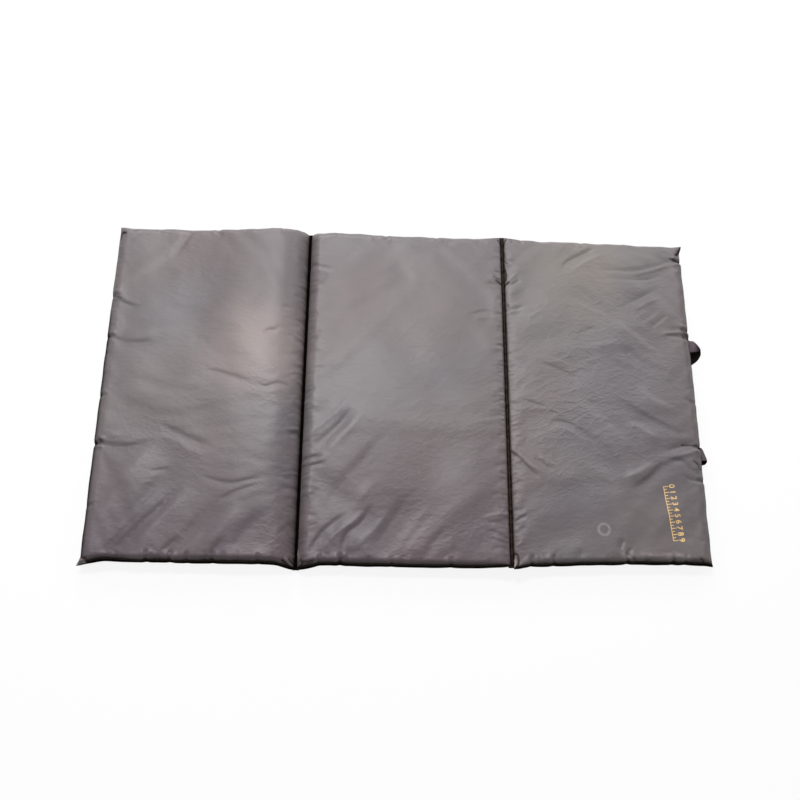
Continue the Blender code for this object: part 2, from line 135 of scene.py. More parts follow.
# Drag folds, as (height mm, width mm, path). A path is pairs of hundredths of the panel's width and depth
# from its front left corner. One that starts or ends on a border is deepest there.
FOLDS = {
    "left": (
        (-0.5, 9, 18, 86, 26, 85, 35, 83), (-1.4, 4, 0, 77, 9, 74, 17, 73),
        (-1.2, 6, 0, 64, 10, 62, 21, 62, 27, 64), (0.9, 8, 9, 64, 20, 65, 28, 66),
        (-0.5, 8, 43, 64, 54, 62), (-1.2, 5, 49, 54, 57, 53, 69, 51, 77, 49),
        (-0.9, 12, 8, 53, 19, 51, 32, 48, 55, 47), (-0.7, 3, 79, 65, 83, 66, 88, 66),
        (-0.8, 3, 77, 49, 83, 49, 89, 50, 95, 49), (-0.6, 3, 88, 74, 93, 73),
        (-1.2, 6, 40, 100, 35, 95, 31, 90), (0.7, 8, 36, 99, 30, 94, 26, 88),
        (-1, 4, 52, 100, 54, 98, 52, 96), (-1.3, 6, 30, 38, 41, 35, 49, 33, 60, 31),
        (0.8, 7, 28, 35, 40, 33, 48, 30, 58, 28), (-1.5, 6, 0, 32, 9, 31, 19, 31, 31, 33),
        (0.8, 7, 3, 34, 13, 34, 25, 35), (-0.8, 3.5, 52, 24, 59, 22, 69, 21, 78, 22, 86, 23),
        (-0.9, 4, 60, 15, 69, 18, 78, 20, 85, 21), (-1.7, 7, 12, 0, 24, 7, 34, 13, 44, 19, 49, 21),
        (1.5, 8, 8, 1, 21, 10, 34, 18, 40, 22), (-1, 8, 6, 13, 12, 18, 20, 22),
        (1, 8, 20, 1, 30, 7, 40, 13, 50, 18), (-1.3, 6, 36, 0, 40, 3, 47, 7),
        (-1.3, 6, 58, 0, 63, 3, 68, 7), (0.9, 7, 43, 0, 51, 4, 58, 9), (-1, 4, 31, 0, 35, 2),
        (0.8, 3, 91, 36, 95, 37, 100, 38), (-0.8, 3, 93, 35, 97, 36, 100, 38),
        (-0.7, 4, 92, 7, 96, 10, 100, 12), (-0.5, 3, 28, 24, 40, 25), (-0.6, 12, 20, 76, 38, 72, 57, 71),
        (1.6, 13, 2, 3, 12, 16, 24, 27, 33, 33), (-1.5, 13, 10, 0, 24, 12, 36, 22, 46, 28),
        (1.5, 13, 26, 0, 38, 12, 52, 22), (-1.4, 12, 44, 1, 54, 10, 66, 18),
        (1.4, 12, 56, 1, 66, 9, 76, 16), (-1.2, 12, 68, 1, 77, 8, 86, 14),
        (-1, 15, 6, 45, 24, 41, 44, 40, 64, 44), (1, 14, 10, 50, 30, 46, 52, 52),
    ),
    "centre": (
        (-1.3, 3, 0, 89, 3, 88, 12, 87), (0.7, 3.5, 0, 87, 7, 86, 15, 85),
        (0.9, 3.5, 92, 87, 96, 86, 100, 84), (-1.2, 3.5, 91, 84, 96, 84, 100, 83.5),
        (0.5, 5, 80, 90, 89, 91, 100, 90), (-0.8, 3, 81, 73, 91, 75, 100, 74),
        (0.5, 3, 83, 72, 92, 73, 100, 73), (-1.2, 7, 4, 31, 11, 35, 18, 39, 25, 45),
        (1, 8, 0, 34, 10, 39, 19, 44, 23, 49), (0.9, 8, 9, 31, 20, 37, 28, 42),
        (-1.5, 6, 4, 2, 11, 8, 19, 12, 27, 15), (1.3, 7, 9, 1, 16, 7, 25, 11, 33, 15),
        (-1.7, 7, 20, 1, 23, 8, 29, 11, 36, 17), (0.9, 8, 27, 2, 30, 6, 37, 10, 43, 15),
        (-1.2, 3, 0, 29, 4, 29, 10, 30), (1, 3, 0, 28, 4, 28, 11, 29), (-1.2, 3, 0, 26.5, 6, 27, 13, 28),
        (0.7, 3, 87, 13, 93, 14, 100, 14), (-0.7, 3, 87, 12, 93, 12, 100, 13),
        (0.5, 4, 84, 40, 91, 41, 100, 42), (-0.7, 3, 88, 10, 94, 9, 100, 7),
        (-0.6, 3, 89, 8, 94, 7, 100, 6), (-0.7, 8, 57, 1, 65, 7, 72, 11), (-1.4, 4, 18, 0, 20, 1, 24, 2),
        (0.6, 9, 48, 1, 56, 7, 65, 12), (-1, 4, 38, 100, 42, 98, 42, 95),
        (-0.5, 12, 41, 93, 49, 87, 53, 81), (0.6, 4, 0, 46, 6, 46, 14, 46),
        (0.5, 16, 12, 52, 22, 63, 32, 72), (1.3, 14, 2, 20, 12, 30, 24, 38, 34, 46),
        (-1.2, 14, 8, 12, 20, 22, 32, 30, 42, 38), (1.2, 13, 16, 6, 28, 17, 40, 25),
        (-1.1, 13, 34, 2, 44, 12, 54, 20), (1, 13, 44, 1, 54, 10, 64, 17),
    ),
    "right": (
        (-1.4, 6, 30, 88, 35, 92, 44, 95, 54, 98), (1, 7, 35, 88, 42, 91, 51, 94, 60, 96),
        (-1.4, 5, 100, 95, 92, 94, 84, 92, 70, 90, 47, 90), (1.1, 5, 97, 93, 89, 92, 80, 90, 68, 88),
        (-1, 5, 92, 91, 83, 88, 74, 87, 52, 87), (-1.2, 6, 86, 85, 74, 81, 63, 78),
        (0.9, 6, 87, 82, 77, 79, 66, 76), (-1, 6, 85, 78, 76, 74, 70, 72), (-1, 6, 89, 76, 82, 73, 77, 70),
        (-1.6, 5, 100, 71, 93, 71, 85, 70), (1.2, 5, 98, 70, 92, 70, 82, 69),
        (-1.5, 4, 100, 68, 94, 68.5, 85, 69), (-0.7, 9, 44, 88, 48, 85, 56, 81, 62, 79),
        (-1.1, 8, 37, 67, 45, 70, 53, 68), (0.8, 8, 44, 65, 53, 65, 62, 67),
        (0.9, 3.5, 0, 84, 3, 86, 8, 88), (-1, 3.5, 0, 83, 4, 84, 9, 86), (-1, 3, 0, 76, 3, 76, 11, 77),
        (0.6, 3, 0, 75, 4, 75, 13, 76), (0.6, 4, 10, 73, 14, 74, 20, 76),
        (-0.8, 4, 13, 60, 22, 58, 31, 56, 41, 52), (0.6, 4.5, 15, 61, 25, 60, 35, 57, 43, 54),
        (-0.9, 4, 4, 48, 15, 46, 22, 44, 30, 42), (0.8, 4, 8, 44, 16, 45, 24, 44, 32, 41),
        (-1, 5, 17, 40, 26, 41, 35, 39, 45, 34), (0.8, 6, 19, 38, 27, 39, 35, 36, 42, 32),
        (1.2, 3.2, 0, 33, 5, 31, 10, 28, 18, 25), (-1.2, 3.2, 0, 32, 4, 30, 9, 27, 16, 23),
        (0.9, 3.5, 13, 32, 19, 29, 25, 27), (-0.9, 3.5, 11, 31, 17, 28, 22, 26),
        (-2.2, 10, 54, 49, 67, 44, 80, 40, 93, 37), (1.6, 10, 58, 42, 68, 39, 79, 35),
        (-1.6, 5, 100, 34, 94, 35, 88, 34, 79, 32), (1.4, 7, 99, 33, 92, 32, 81, 30, 74, 27),
        (-1.4, 5, 76, 30, 84, 30, 90, 29, 97, 24), (-1.2, 4, 100, 24, 92, 24, 87, 26),
        (-2.4, 9, 59, 20, 68, 23, 76, 27, 81, 31), (1.8, 9, 56, 24, 66, 26, 74, 29),
        (-0.9, 4, 93, 50, 96, 48, 99, 46), (-1.4, 5, 55, 7, 54, 5, 53, 3), (-1.2, 4, 57, 1, 57, 3, 60, 4),
        (-1, 3, 0, 12, 3, 13, 8, 14), (0.9, 3, 0, 14, 2, 14, 8, 15), (0.8, 3, 0, 5, 1, 6, 4, 7),
        (-0.7, 9, 61, 15, 67, 12, 73, 8), (0.6, 10, 25, 27, 39, 21, 50, 16),
        (-0.6, 10, 30, 29, 44, 24, 56, 19), (-0.6, 10, 49, 62, 61, 58, 70, 57),
        (0.6, 10, 29, 80, 46, 76, 59, 73), (1.5, 14, 30, 50, 44, 43, 58, 35, 70, 30),
        (-1.4, 13, 34, 40, 46, 34, 58, 26, 66, 20), (1.2, 13, 40, 30, 52, 22, 60, 14),
        (1.4, 12, 66, 52, 78, 47, 90, 44), (-1.3, 12, 60, 66, 72, 60, 86, 56),
        (1.2, 12, 56, 74, 70, 67, 84, 62), (-1.2, 12, 36, 84, 48, 80, 62, 72),
    ),
}
PATH_STEPS = 6
FOLD_POWER = 1.5
FOLD_SCALES = {"left": (1.15, 1.25), "centre": (1.05, 1.05), "right": (1.15, 0.85)}
FOLD_LEAN = 0.35
FOLD_DEPTH_LIMIT = 2.7 * MM
FOLD_TAPER_SHARE = 0.35
FOLD_PARTS = 100
STROKE_PARTS = 1000
BORDER_SHARE = 0.005
CREASE_REACH = 4

# Sharp folds and gaps too small for the net's own shade, with painted shade in them, as (dark share, height
# mm, width mm, path). A path is pairs of thousandths of the finished panel. A dark share below 0 is a painted
# highlight.
STROKES = {
    "left": (
        (1, -1, 2.6, 14, 974, 23, 979, 34, 975), (0.8, -0.6, 1.6, 10, 976, 13, 954),
        (1, -1, 1.7, 33, 1, 13, 5, -2, 12), (-0.8, 0.3, 2.4, -10, -8, 0, -1, 19, -1),
        (1, -1, 2, 950, 6, 972, -3, 997, -9), (0.9, -0.8, 1.6, 981, 11, 993, 4, 1006, 0),
        (-0.4, 0.5, 1.7, 962, 13, 979, 4, 994, -3), (0.7, -0.6, 1.6, 21, 335, 33, 331, 41, 324),
        (0.6, -0.5, 1.6, 14, 768, 35, 764, 52, 759),
    ),
    "centre": (
        (1, -0.8, 1.7, 7, 10, 19, 3, 15, -4, 1, -7), (-0.8, 0.4, 1.5, -5, 33, -1, 23, 3, 12),
        (0.8, -0.6, 1.7, 26, 3, 45, 2, 69, 6), (1, -0.8, 1.8, 974, 852, 995, 843, 1009, 836),
        (0.6, -0.6, 1.6, 959, 864, 980, 859, 998, 849), (0.9, -0.5, 1.6, 990, 990, 1003, 980, 1008, 970),
    ),
    "right": (
        (1, -0.8, 1.8, -7, 835, 5, 841, 17, 847), (0.8, -0.6, 1.6, 1, 917, 12, 910),
        (1, -0.6, 1.8, 0, 890, 4, 870, 1, 853), (0.8, -0.5, 1.7, -4, 948, 2, 931),
        (0.7, -0.5, 1.6, 5, 777, 13, 768), (0.9, -0.5, 1.6, 10, 992, 0, 982, -3, 967),
        (1, -0.8, 1.6, -8, 28, 2, 35, 13, 30, 19, 18, 15, 5, 3, -2), (1, -0.3, 1.4, -8, 28, -10, 18, -9, 8),
        (-1, 0.3, 1.6, 2, 16, 4, 7, -1, 0), (1, -1.2, 2.6, 968, 957, 984, 965, 996, 975),
        (0.9, -0.8, 2, 984, 974, 998, 977), (0.9, -0.8, 1.6, 929, 943, 953, 940, 981, 937),
        (0.9, -0.9, 1.7, 958, 699, 973, 693, 986, 687), (0.5, -0.6, 1.5, 953, 691, 966, 683),
        (0.8, -0.8, 1.6, 893, 350, 935, 350, 980, 350), (0.7, -0.6, 1.6, 947, 304, 969, 294, 982, 280),
        (0.8, -0.8, 1.7, 933, 30, 952, 23, 971, 16),
        (0.55, -0.7, 2.2, 585, 32, 620, 18, 670, 24, 740, 16, 800, 22),
        (0.5, -0.6, 2, 800, 27, 850, 18, 900, 26, 950, 20),
        (-0.35, 0.5, 2.4, 640, 40, 700, 36, 770, 40, 850, 36),
    ),
}
# Painted shade beside the seams, as (share, reach mm). Along the front it is (share of the roll
# where the painted shade ends, softness), and on the left it fades towards the back from a place on, over a
# length.
BORDER_SHADES = {"left": (1.0, 9.0), "right": (1.0, 5.0)}
FRONT_SHADE = (1.0, 0.45)
LEFT_SHADE_START = (190.0 * MM, 120.0 * MM)
LEFT_SHADE_FLOOR = 0.3
HINGE_SHADES = {
    ("left", -1): (0.75, 3.6), ("centre", 1): (0.2, 1.5),
    ("centre", -1): (0.7, 1.6), ("right", 1): (0.7, 1.9),
}
GATHER_SHADE = 0.22
GATHER_SHADE_REACH = 7.0 * MM

# Where the seam pinches the border, as (side, share along it, depth mm), and the shape of a pinch
PINCHES = {
    "left": (
        ("left", 0.77, 1.6), ("left", 0.64, 1.6), ("left", 0.46, 1.2), ("left", 0.32, 3.0),
        ("left", 0.15, 0.8), ("back", 0.52, 1.4), ("back", 0.22, 0.8), ("front", 0.31, 1.6),
        ("front", 0.42, 1.6), ("front", 0.5, 1.0), ("front", 0.62, 1.2), ("front", 0.83, 1.0),
    ),
    "centre": (
        ("back", 0.39, 1.4), ("back", 0.66, 1.0), ("back", 0.14, 0.7), ("front", 0.2, 2.0),
        ("front", 0.1, 1.0), ("front", 0.44, 0.9), ("front", 0.72, 1.0),
    ),
    "right": (
        ("right", 0.94, 3.4), ("right", 0.71, 2.2), ("right", 0.685, 1.6), ("right", 0.34, 2.4),
        ("right", 0.24, 1.6), ("right", 0.48, 1.0), ("back", 0.44, 1.4), ("back", 0.7, 0.6),
        ("front", 0.09, 1.6), ("front", 0.2, 1.6), ("front", 0.57, 2.0), ("front", 0.8, 1.4),
        ("front", 0.86, 1.0), ("back", 0.1, 0.9),
    ),
}
PINCH_WIDTH = 4.5 * MM
PINCH_LENGTH = 17.0 * MM
PINCH_RIDGE_OFFSET = 5.5 * MM
PINCH_RIDGE_SHARE = 0.55
PINCH_INDENT_SHARE = 0.7
PINCH_REACHES = (0.7, 0.15)
PINCH_SPREAD = 0.4
PINCH_CREASE_SHARE = 0.6

# Short gathers that a row of stitches leaves beside it
GATHER_SPACING = {"hinge": 4.6 * MM, "border": 15.0 * MM}
GATHER_LENGTH = {"hinge": (7.0 * MM, 38.0 * MM), "border": (8.0 * MM, 26.0 * MM)}
GATHER_DEPTH = {"hinge": (0.12 * MM, 0.72 * MM), "border": (0.15 * MM, 0.8 * MM)}
GATHER_WIDTH = (1.3 * MM, 2.9 * MM)
GATHER_SLANT = 0.45
GATHER_JITTER = 0.45
GATHER_BEND = 0.08
GATHER_DENTS = 0.6
GATHER_RISE = 0.8
GATHER_WIDENING = 60 * MM
GATHER_SHORTENING = (0.5, 1.0)
SCALLOP_LENGTH = (5.0 * MM, 11.0 * MM)
SCALLOP_DEPTH = 0.7 * MM
SCALLOP_REACH = 6.5 * MM
SCALLOP_COUNT = 5
SCALLOP_LIMIT = 1.3
SETTLE_START = 1.0 * MM
SETTLE_WIDTH = 5.0 * MM

# Cloth simulation: the top cloth is cut a little too large and settles on its foam
CLOTH_STEP = 6.0 * MM
CLOTH_FRAMES = 20
CLOTH_GROWTH = 0.012
CLOTH_BENDING = 10.0
CLOTH_TENSION = 30.0
CLOTH_SHEAR = 10.0
CLOTH_GRAVITY = 0.2
CLOTH_HELD = 6.0 * MM
CLOTH_CAP = 5.0 * MM
FOAM_DROP = 2.2 * MM
CLOTH_SKIN = 1.0 * MM
CLOTH_FRICTION = 5.0
CLOTH_QUALITY = 5
CLOTH_MASS = 0.1
CLOTH_DAMPING = 2.0
CLOTH_PIN = 5.0

# Slow waves of the cover over its foam, and of the border, and how far from the stitches they reach
CLOTH_REACH = 4.0 * MM
WAVE_REACH = 30 * MM
BORDER_REACH = 14 * MM
HINGE_REACH = 20 * MM
WAVE_COUNT = 14
WAVE_LENGTH = (60.0 * MM, 190.0 * MM)
WAVE_HEIGHT = 0.22 * MM
BORDER_WAVE_COUNT = 7
BORDER_WAVE_LENGTH = (28.0 * MM, 120.0 * MM)
BORDER_WAVE_HEIGHT = 0.42 * MM

# Foam, hinge cloth and thread
FOAM_INSET = 5.0 * MM
FOAM_UNDER_INSET = 2.6 * MM
FOAM_RIM_SHARES = (0.45, 0.30)
FOAM_LINES = (38, 64)
HINGE_OVERLAP = 1.6 * MM
HINGE_TAILS = {"low": (6.5 * MM, 7.5 * MM), "high": (0.6 * MM, 0.3 * MM)}
HINGE_STEP = 2.0 * MM
HINGE_COLUMNS = 15
HINGE_RIPPLES = 5
HINGE_RIPPLE_LENGTH = (7.0 * MM, 26.0 * MM)
HINGE_LEAN = 90.0
HINGE_DROP_REACH = 8.0 * MM
HINGE_DROPS = {"low": 0.0 * MM, "high": 6.0 * MM}
HINGE_RIM = 1.3 * MM
HINGE_LINE = 0.7 * MM
HINGE_THICKNESS = 0.9 * MM
HINGE_PUFF = 0.15 * MM
HINGE_PUFF_RIPPLE = 0.9
HINGE_EDGE_POWER = 8
HINGE_UNDER_RISE = 0.5
# Painted shade of the hinge cloth: how much lighter the low web's lit rim is, how dark the high web's middle
# stays and how much its dark edges wander
HINGE_LIT_SHARE = 0.8
HINGE_LINE_SHADE = 0.15
HINGE_LINE_RIPPLE = 0.3
STITCH_ROW_INSET = 0.2 * MM
STITCH_LENGTH = 3.1 * MM
STITCH_PITCH = 3.6 * MM
THREAD_RADIUS = 0.36 * MM
STITCH_SIDES = 6
STITCH_CUTS = 3
STITCH_END_SHARE = 0.45
STITCH_END_SIZE = 0.55
STITCH_END_PULL = 0.1
STITCH_END_DIP = 1.5
STITCH_JITTER = 0.07
STITCH_SINK = 0.6
HINGE_ROW_POINTS = 60
EDGE_ROW_POINTS = (130, 220)
EDGE_STITCH_INSET = 3.1 * MM

# Webbing handle, whose rulings repeat the ones that the CAD piece is lofted through
HANDLE_WIDTH = 25.0 * MM
HANDLE_THICKNESS = 2.0 * MM
HANDLE_SPAN = 202.0 * MM
HANDLE_REACH = 21.0 * MM
HANDLE_FRONT_REACH = 10.5 * MM
HANDLE_TUCK = 23.0 * MM
HANDLE_GAP = 0.5 * MM
HANDLE_EDGE_X = HANDLE_PIVOT.x - HANDLE_GAP - HANDLE_THICKNESS / 2
HANDLE_REST_Z = UNDER_CLEARANCE + HANDLE_THICKNESS / 2
BACK_TURN_SHARES = (
    ((0.27, 0.39, 1.00), (0.24, -0.49, 1.00)),
    ((0.55, 0.34, 1.10), (0.56, -0.44, 0.97)),
    ((0.80, 0.07, 1.27), (0.96, -0.31, 0.66)),
    ((1.01, -0.19, 1.21), (1.29, -0.27, 0.24)),
    ((1.15, -0.26, 0.79), (1.26, -0.57, 0.04)),
    ((1.13, -0.12, 0.35), (0.97, -0.89, 0.00)),
    ((0.84, 0.01, 0.14), (0.56, -1.15, 0.00)),
    ((0.20, -0.08, 0.00), (0.27, -1.35, 0.00)),
    ((-0.50, -0.62, 0.00), (0.08, -1.62, 0.00)),
    ((-0.90, -1.55, 0.00), (0.04, -2.00, 0.00)),
    ((-1.00, -2.60, 0.00), (0.03, -2.60, 0.00)),
)
FRONT_TURN_SHARES = (
    ((-1.00, 1.60, 0.00), (0.04, 1.60, 0.00)),
    ((-0.95, 0.80, 0.00), (0.05, 0.90, 0.00)),
    ((-0.55, 0.05, 0.00), (0.08, 0.60, 0.00)),
    ((0.10, -0.40, 0.00), (0.15, 0.46, 0.00)),
    ((0.77, -0.48, 0.00), (0.37, 0.43, 0.01)),
    ((1.40, -0.46, 0.06), (0.82, 0.45, 0.10)),
    ((1.68, -0.34, 0.36), (0.96, 0.50, 0.48)),
    ((1.44, -0.30, 0.79), (0.70, 0.51, 0.93)),
    ((0.89, -0.36, 1.04), (0.48, 0.53, 1.06)),
    ((0.39, -0.40, 1.00), (0.32, 0.55, 1.00)),
)
TURN_STEPS = 6
WEBBING_ROUND_STEPS = 4
WEBBING_ACROSS = 9
WEBBING_EDGE_POWER = 6
WEBBING_EDGE_SHARE = 0.25
WEBBING_END_SHARE = 0.05
WEBBING_SHARP = math.radians(60)

# Patches of painted highlight and painted shade, as (place, half sizes, shares of red, green and blue), and
# painted shade towards the front
PAINTED_LIGHT_AND_SHADE_PATCHES = (
    ((-254 * MM, 58 * MM), (82 * MM, 94 * MM), (0.68, 0.60, 0.50)),
    ((-98 * MM, 170 * MM), (88 * MM, 94 * MM), (-0.12, -0.19, -0.20)),
    ((-36 * MM, -150 * MM), (82 * MM, 76 * MM), (-0.20, -0.27, -0.26)),
    ((340 * MM, -40 * MM), (120 * MM, 160 * MM), (0.03, 0.07, 0.10)),
    ((270 * MM, 180 * MM), (108 * MM, 110 * MM), (0.20, 0.23, 0.11)),
    ((340 * MM, 264 * MM), (120 * MM, 56 * MM), (0.22, 0.26, 0.15)),
    ((420 * MM, -104 * MM), (70 * MM, 84 * MM), (-0.13, -0.13, -0.08)),
    ((262 * MM, -196 * MM), (64 * MM, 50 * MM), (-0.13, -0.12, -0.05)),
    ((-300 * MM, 222 * MM), (140 * MM, 80 * MM), (-0.10, -0.13, -0.13)),
)
# Painted shade, darker and more mauve towards the front, as (start y, end y, shares of red, green and blue),
# fading out to the right between two x
PAINTED_SHADE_TOWARDS_FRONT = (-30 * MM, -290 * MM, (-0.21, -0.30, -0.25))
PAINTED_SHADE_TOWARDS_FRONT_SIDE = (250 * MM, 150 * MM)

# Small sharp wrinkles: their height, directions, sizes and thinness, and the panel where they crowd
WRINKLE_HEIGHT = 0.38 * MM
WRINKLE_TURNS = (0.6, 0.15, -0.5)
WRINKLE_SIZES = (42 * MM, 34 * MM, 38 * MM)
WRINKLE_SHARPNESS = 13.0
WRINKLED_PATCH = ((330 * MM, 60 * MM), (130 * MM, 190 * MM))
WRINKLE_STRETCH = 2.6

# Coated nylon: the sizes of its drifting greys and patches, and the (size, depth) of its relief
NYLON_DRIFT = 150 * MM
NYLON_PATCH = 60 * MM
NYLON_GRAIN = (4.5 * MM, 0.30 * MM)
NYLON_CREASES = (24 * MM, 1.5 * MM)
NYLON_WEAVE = (0.55 * MM, 0.035 * MM)
# How strongly its tone drifts with use, how much painted light and shade its folds get, how strongly painted
# shade darkens it and how pale its painted highlights are
NYLON_WEAR = 0.3
NYLON_FOLD_LIGHT = 0.055
NYLON_DARK = 1.15
NYLON_PALE = 0.9

# Printed measuring rule near the front right corner, and the scuffed ring beside it
RULE_START = (421.0 * MM, -163.0 * MM)
RULE_SLANT = math.radians(6.0)
RULE_LENGTH = 90.0 * MM
RULE_DIVISIONS = 18
RULE_TICKS = (4.2 * MM, 7.5 * MM)
RULE_LINE = 1.2 * MM
RULE_DIGIT = 9.6 * MM
RULE_FILM = 0.25 * MM
RULE_LIFT = -0.05 * MM
RULE_SEARCH = 3
RULE_BOLD = 0.16 * MM
RULE_TYPE_SHARE = 1.35
RULE_DIGIT_GAP = 2.0 * MM
RULE_TICK_SHIFT = 0.4
RULE_CUT = 2.5 * MM
SCUFF_PLACE = (318.8 * MM, -236.4 * MM)
SCUFF_RADIUS = 9.0 * MM
SCUFF_WOBBLE = (6 * MM, 2.2 * MM)
SCUFF_LINE = (0.8 * MM, 2.6 * MM)
SCUFF_SPECKS = 3 * MM
SCUFF_LEAST = 0.35
SCUFF_STRENGTH = 0.55

# Camera, as a place, three turns and a lens on a 36 mm sensor
CAMERA_PLACE = (-78.5 * MM, -688.4 * MM, 1656.6 * MM)
CAMERA_YAW = math.radians(-5.882)
CAMERA_PITCH = math.radians(67.554)
CAMERA_ROLL = math.radians(6.867)
CAMERA_LENS = 47.462
CAMERA_SENSOR = 36.0
CAMERA_END = 50.0

# Dark cloth: where the webbing's inner face begins, how dark the painted shade on that face and on the seams
# is, and the shine of each
WEBBING_INNER = 0.2 * MM
DARK_CLOTH_SHADE = 0.92
WEBBING_SHINE = 0.35
HINGE_SHINE = 0.08

# Studio: its lamps, as (name, place, target, size, power), its even light and its floor
LIGHTS = (
    ("back_window", (-0.36, 1.12, 2.6), (-0.10, 0.05, 0.0), 0.40, 41),
    ("low_window", (-0.4, 2.3, 1.25), (0.0, 0.0, 0.0), 0.9, 26),
    ("left_window", (-2.0, 0.5, 1.9), (0.0, 0.0, 0.0), 1.6, 7),
    ("right_window", (1.30, 1.55, 1.3), (0.3, 0.25, 0.0), 0.8, 11),
)
WORLD_STRENGTH = 0.21
FLOOR_SIZE = 12
FLOOR_GLOW = 1.16
FLOOR_GLOW_SHARE = 0.76


def smooth(share):
    """Goes from 0 to 1 with level ends as the share does."""
    share = np.clip(share, 0.0, 1.0)
    return share * share * (3 - 2 * share)


def rolled(distance, width, power):
    """Height share of a rounded border, 0 on its seam and 1 past its width. A higher power is squarer."""
    rest = np.clip(1 - distance / width, 0.0, 1.0)
    return (1 - rest**power) ** (1 / power)


class Side:
    """A side of a pocket: where it is, how high it is sewn, and how the cover rolls down to it."""

    def __init__(self, edge, inward, seam_z, free, top_roll, under_roll):
        self.edge, self.inward, self.seam_z, self.free = edge, inward, seam_z, free
        self.lip = LIP if free else HINGE_MARGIN
        self.rolls = {"top": top_roll, "under": under_roll}

    def distance(self, x):
        return (x - self.edge) * self.inward

    def lines(self):
        """Lines of the net beside this side, from its edge inwards."""
        seam = self.edge + self.inward * self.lip
        lip = [self.edge + self.inward * self.lip * share for share in LIP_SHARES]
        return lip + [seam + self.inward * step for step in SEAM_STEPS]


class Pocket:
    """The cover of one panel: its net, and the height of each face over any point of its plan."""

    def __init__(self, name, left, right, swell=0.0):
        self.name, self.left, self.right, self.swell = name, left, right, swell
        self.middle = (left.edge + right.edge) / 2
        self.half = (right.edge - left.edge) / 2

    def place(self, across, along):
        """A point of the plan from its shares of the panel's width and depth."""
        return self.left.edge + across * 2 * self.half, HALF_DEPTH * (2 * along - 1)

    def sheet_place(self, across, along):
        """A point of the plan from its shares of the panel's finished width and depth."""
        sides = (self.left, self.right)
        left, right = (side.edge + (0 if side.free else side.inward * HINGE_OVERHANG) for side in sides)
        return left + across * (right - left), HALF_DEPTH * (2 * along - 1)

    def seam_height(self, x):
        height = EDGE_SEAM_Z
        height = height + (self.left.seam_z - EDGE_SEAM_Z) * smooth(1 - self.left.distance(x) / SEAM_RAMP)
        return height + (self.right.seam_z - EDGE_SEAM_Z) * smooth(1 - self.right.distance(x) / SEAM_RAMP)

    def fullness(self, x, y, face):
        """The share of its full height that a face has reached at a point."""
        power = ROLL_POWERS[face]
        ends = np.where(y < 0, FRONT_ROLL, EDGE_ROLL) if face == "top" else UNDER_ROLL
        full = rolled(HALF_DEPTH - LIP - np.abs(y), ends, power)
        for side in (self.left, self.right):
            full = full * rolled(side.distance(x) - side.lip, side.rolls[face], power)
        return full

    def top_height(self, x, y):
        across, along = (x - self.middle) / self.half, y / HALF_DEPTH
        height = PANEL_THICKNESS + CROWN * (1 - across**2) * (1 - along**2)
        lift = smooth((x - self.right.edge + SWELL_ROLL + SWELL_RISE) / SWELL_RISE)
        return height + self.swell * lift * (SWELL_FRONT_SHARE + (1 - SWELL_FRONT_SHARE) * (1 + along) / 2)

    def drawn_in(self, x, y):
        """Shapes the outline: tapers, a bowed front, shifted corners, and ears at the outer corners.

        DRAW_IN draws the free edges in between the corners. Below 0 it lets them out.
        """
        across, along = (x - self.middle) / self.half, y / HALF_DEPTH
        moved_x, moved_y = x, y * (1 - DRAW_IN * (1 - across**2) / HALF_DEPTH)
        front, back = TAPERS.get(self.name, (0.0, 0.0))
        moved_y = moved_y - (1 + across) / 2 * np.where(y < 0, front, back) * along
        moved_y = moved_y + FRONT_BOWS.get(self.name, 0.0) * (1 - across**2) * np.clip(-along, 0.0, 1.0)
        for side, fixed in ((self.left, self.right.edge), (self.right, self.left.edge)):
            ends = CORNER_SHIFTS.get((self.name, side.inward), {})
            for end, (out, spread) in ends.items():
                near = smooth(1 - np.abs(x - side.edge) / spread)
                near = near * smooth(end * along * CORNER_RAMP[0] - CORNER_RAMP[1])
                moved_y = moved_y + end * out * near
            if not side.free:
                continue
            reach = (x - fixed) / (side.edge - fixed)
            moved_x = moved_x + side.inward * DRAW_IN * (1 - along**2) * reach
            corner = np.hypot(x - side.edge, HALF_DEPTH - np.abs(y))
            size = np.where(y < 0, EAR_SHARES[self.name, -1], EAR_SHARES[self.name, 1])
            power = np.where(y < 0, *(EAR_POWERS.get((self.name, end), EAR_POWER) for end in (-1, 1)))
            ear = smooth(1 - corner / EAR_SPREAD) ** power * size
            moved_x = moved_x - side.inward * EAR * ear
            moved_y = moved_y + np.sign(y) * EAR_TIP * ear
        return moved_x, moved_y

    def bulged(self, x, y, wall, full):
        """How far the walls belly out over their seams, as a shift in x and in y."""
        belly = WALL_BULGE * np.clip(wall / WALL_HEIGHT, 0.0, 1.0) * 4 * full * (1 - full)
        shift_x, shift_y = np.zeros(x.shape), np.zeros(x.shape)
        for side in (self.left, self.right):
            shift_x -= side.inward * belly * np.exp(-((side.distance(x) / WALL_BULGE_REACH) ** 2))
        ends = np.exp(-(((HALF_DEPTH - np.abs(y)) / WALL_BULGE_REACH) ** 2))
        shift_y += np.sign(y) * belly * ends
        return shift_x, shift_y

    def points(self, x, y, face):
        """The smooth cover, before any fold, over a grid of its plan."""
        seam, full = self.seam_height(x), self.fullness(x, y, face)
        if face == "top":
            wall = self.top_height(x, y) - seam - PLY
            height = seam + PLY + full * wall
        else:
            wall = seam - PLY - UNDER_CLEARANCE
            height = seam - PLY - full * wall
        moved_x, moved_y = self.drawn_in(x, y)
        belly_x, belly_y = self.bulged(x, y, wall, full)
        return np.stack([moved_x + belly_x, moved_y + belly_y, height], axis=-1)

    def columns(self):
        return joined_lines(self.left.lines(), self.right.lines()[::-1])

    def rows(self):
        end = Side(-HALF_DEPTH, 1, EDGE_SEAM_Z, True, EDGE_ROLL, UNDER_ROLL).lines()
        return joined_lines(end, [-y for y in end[::-1]])

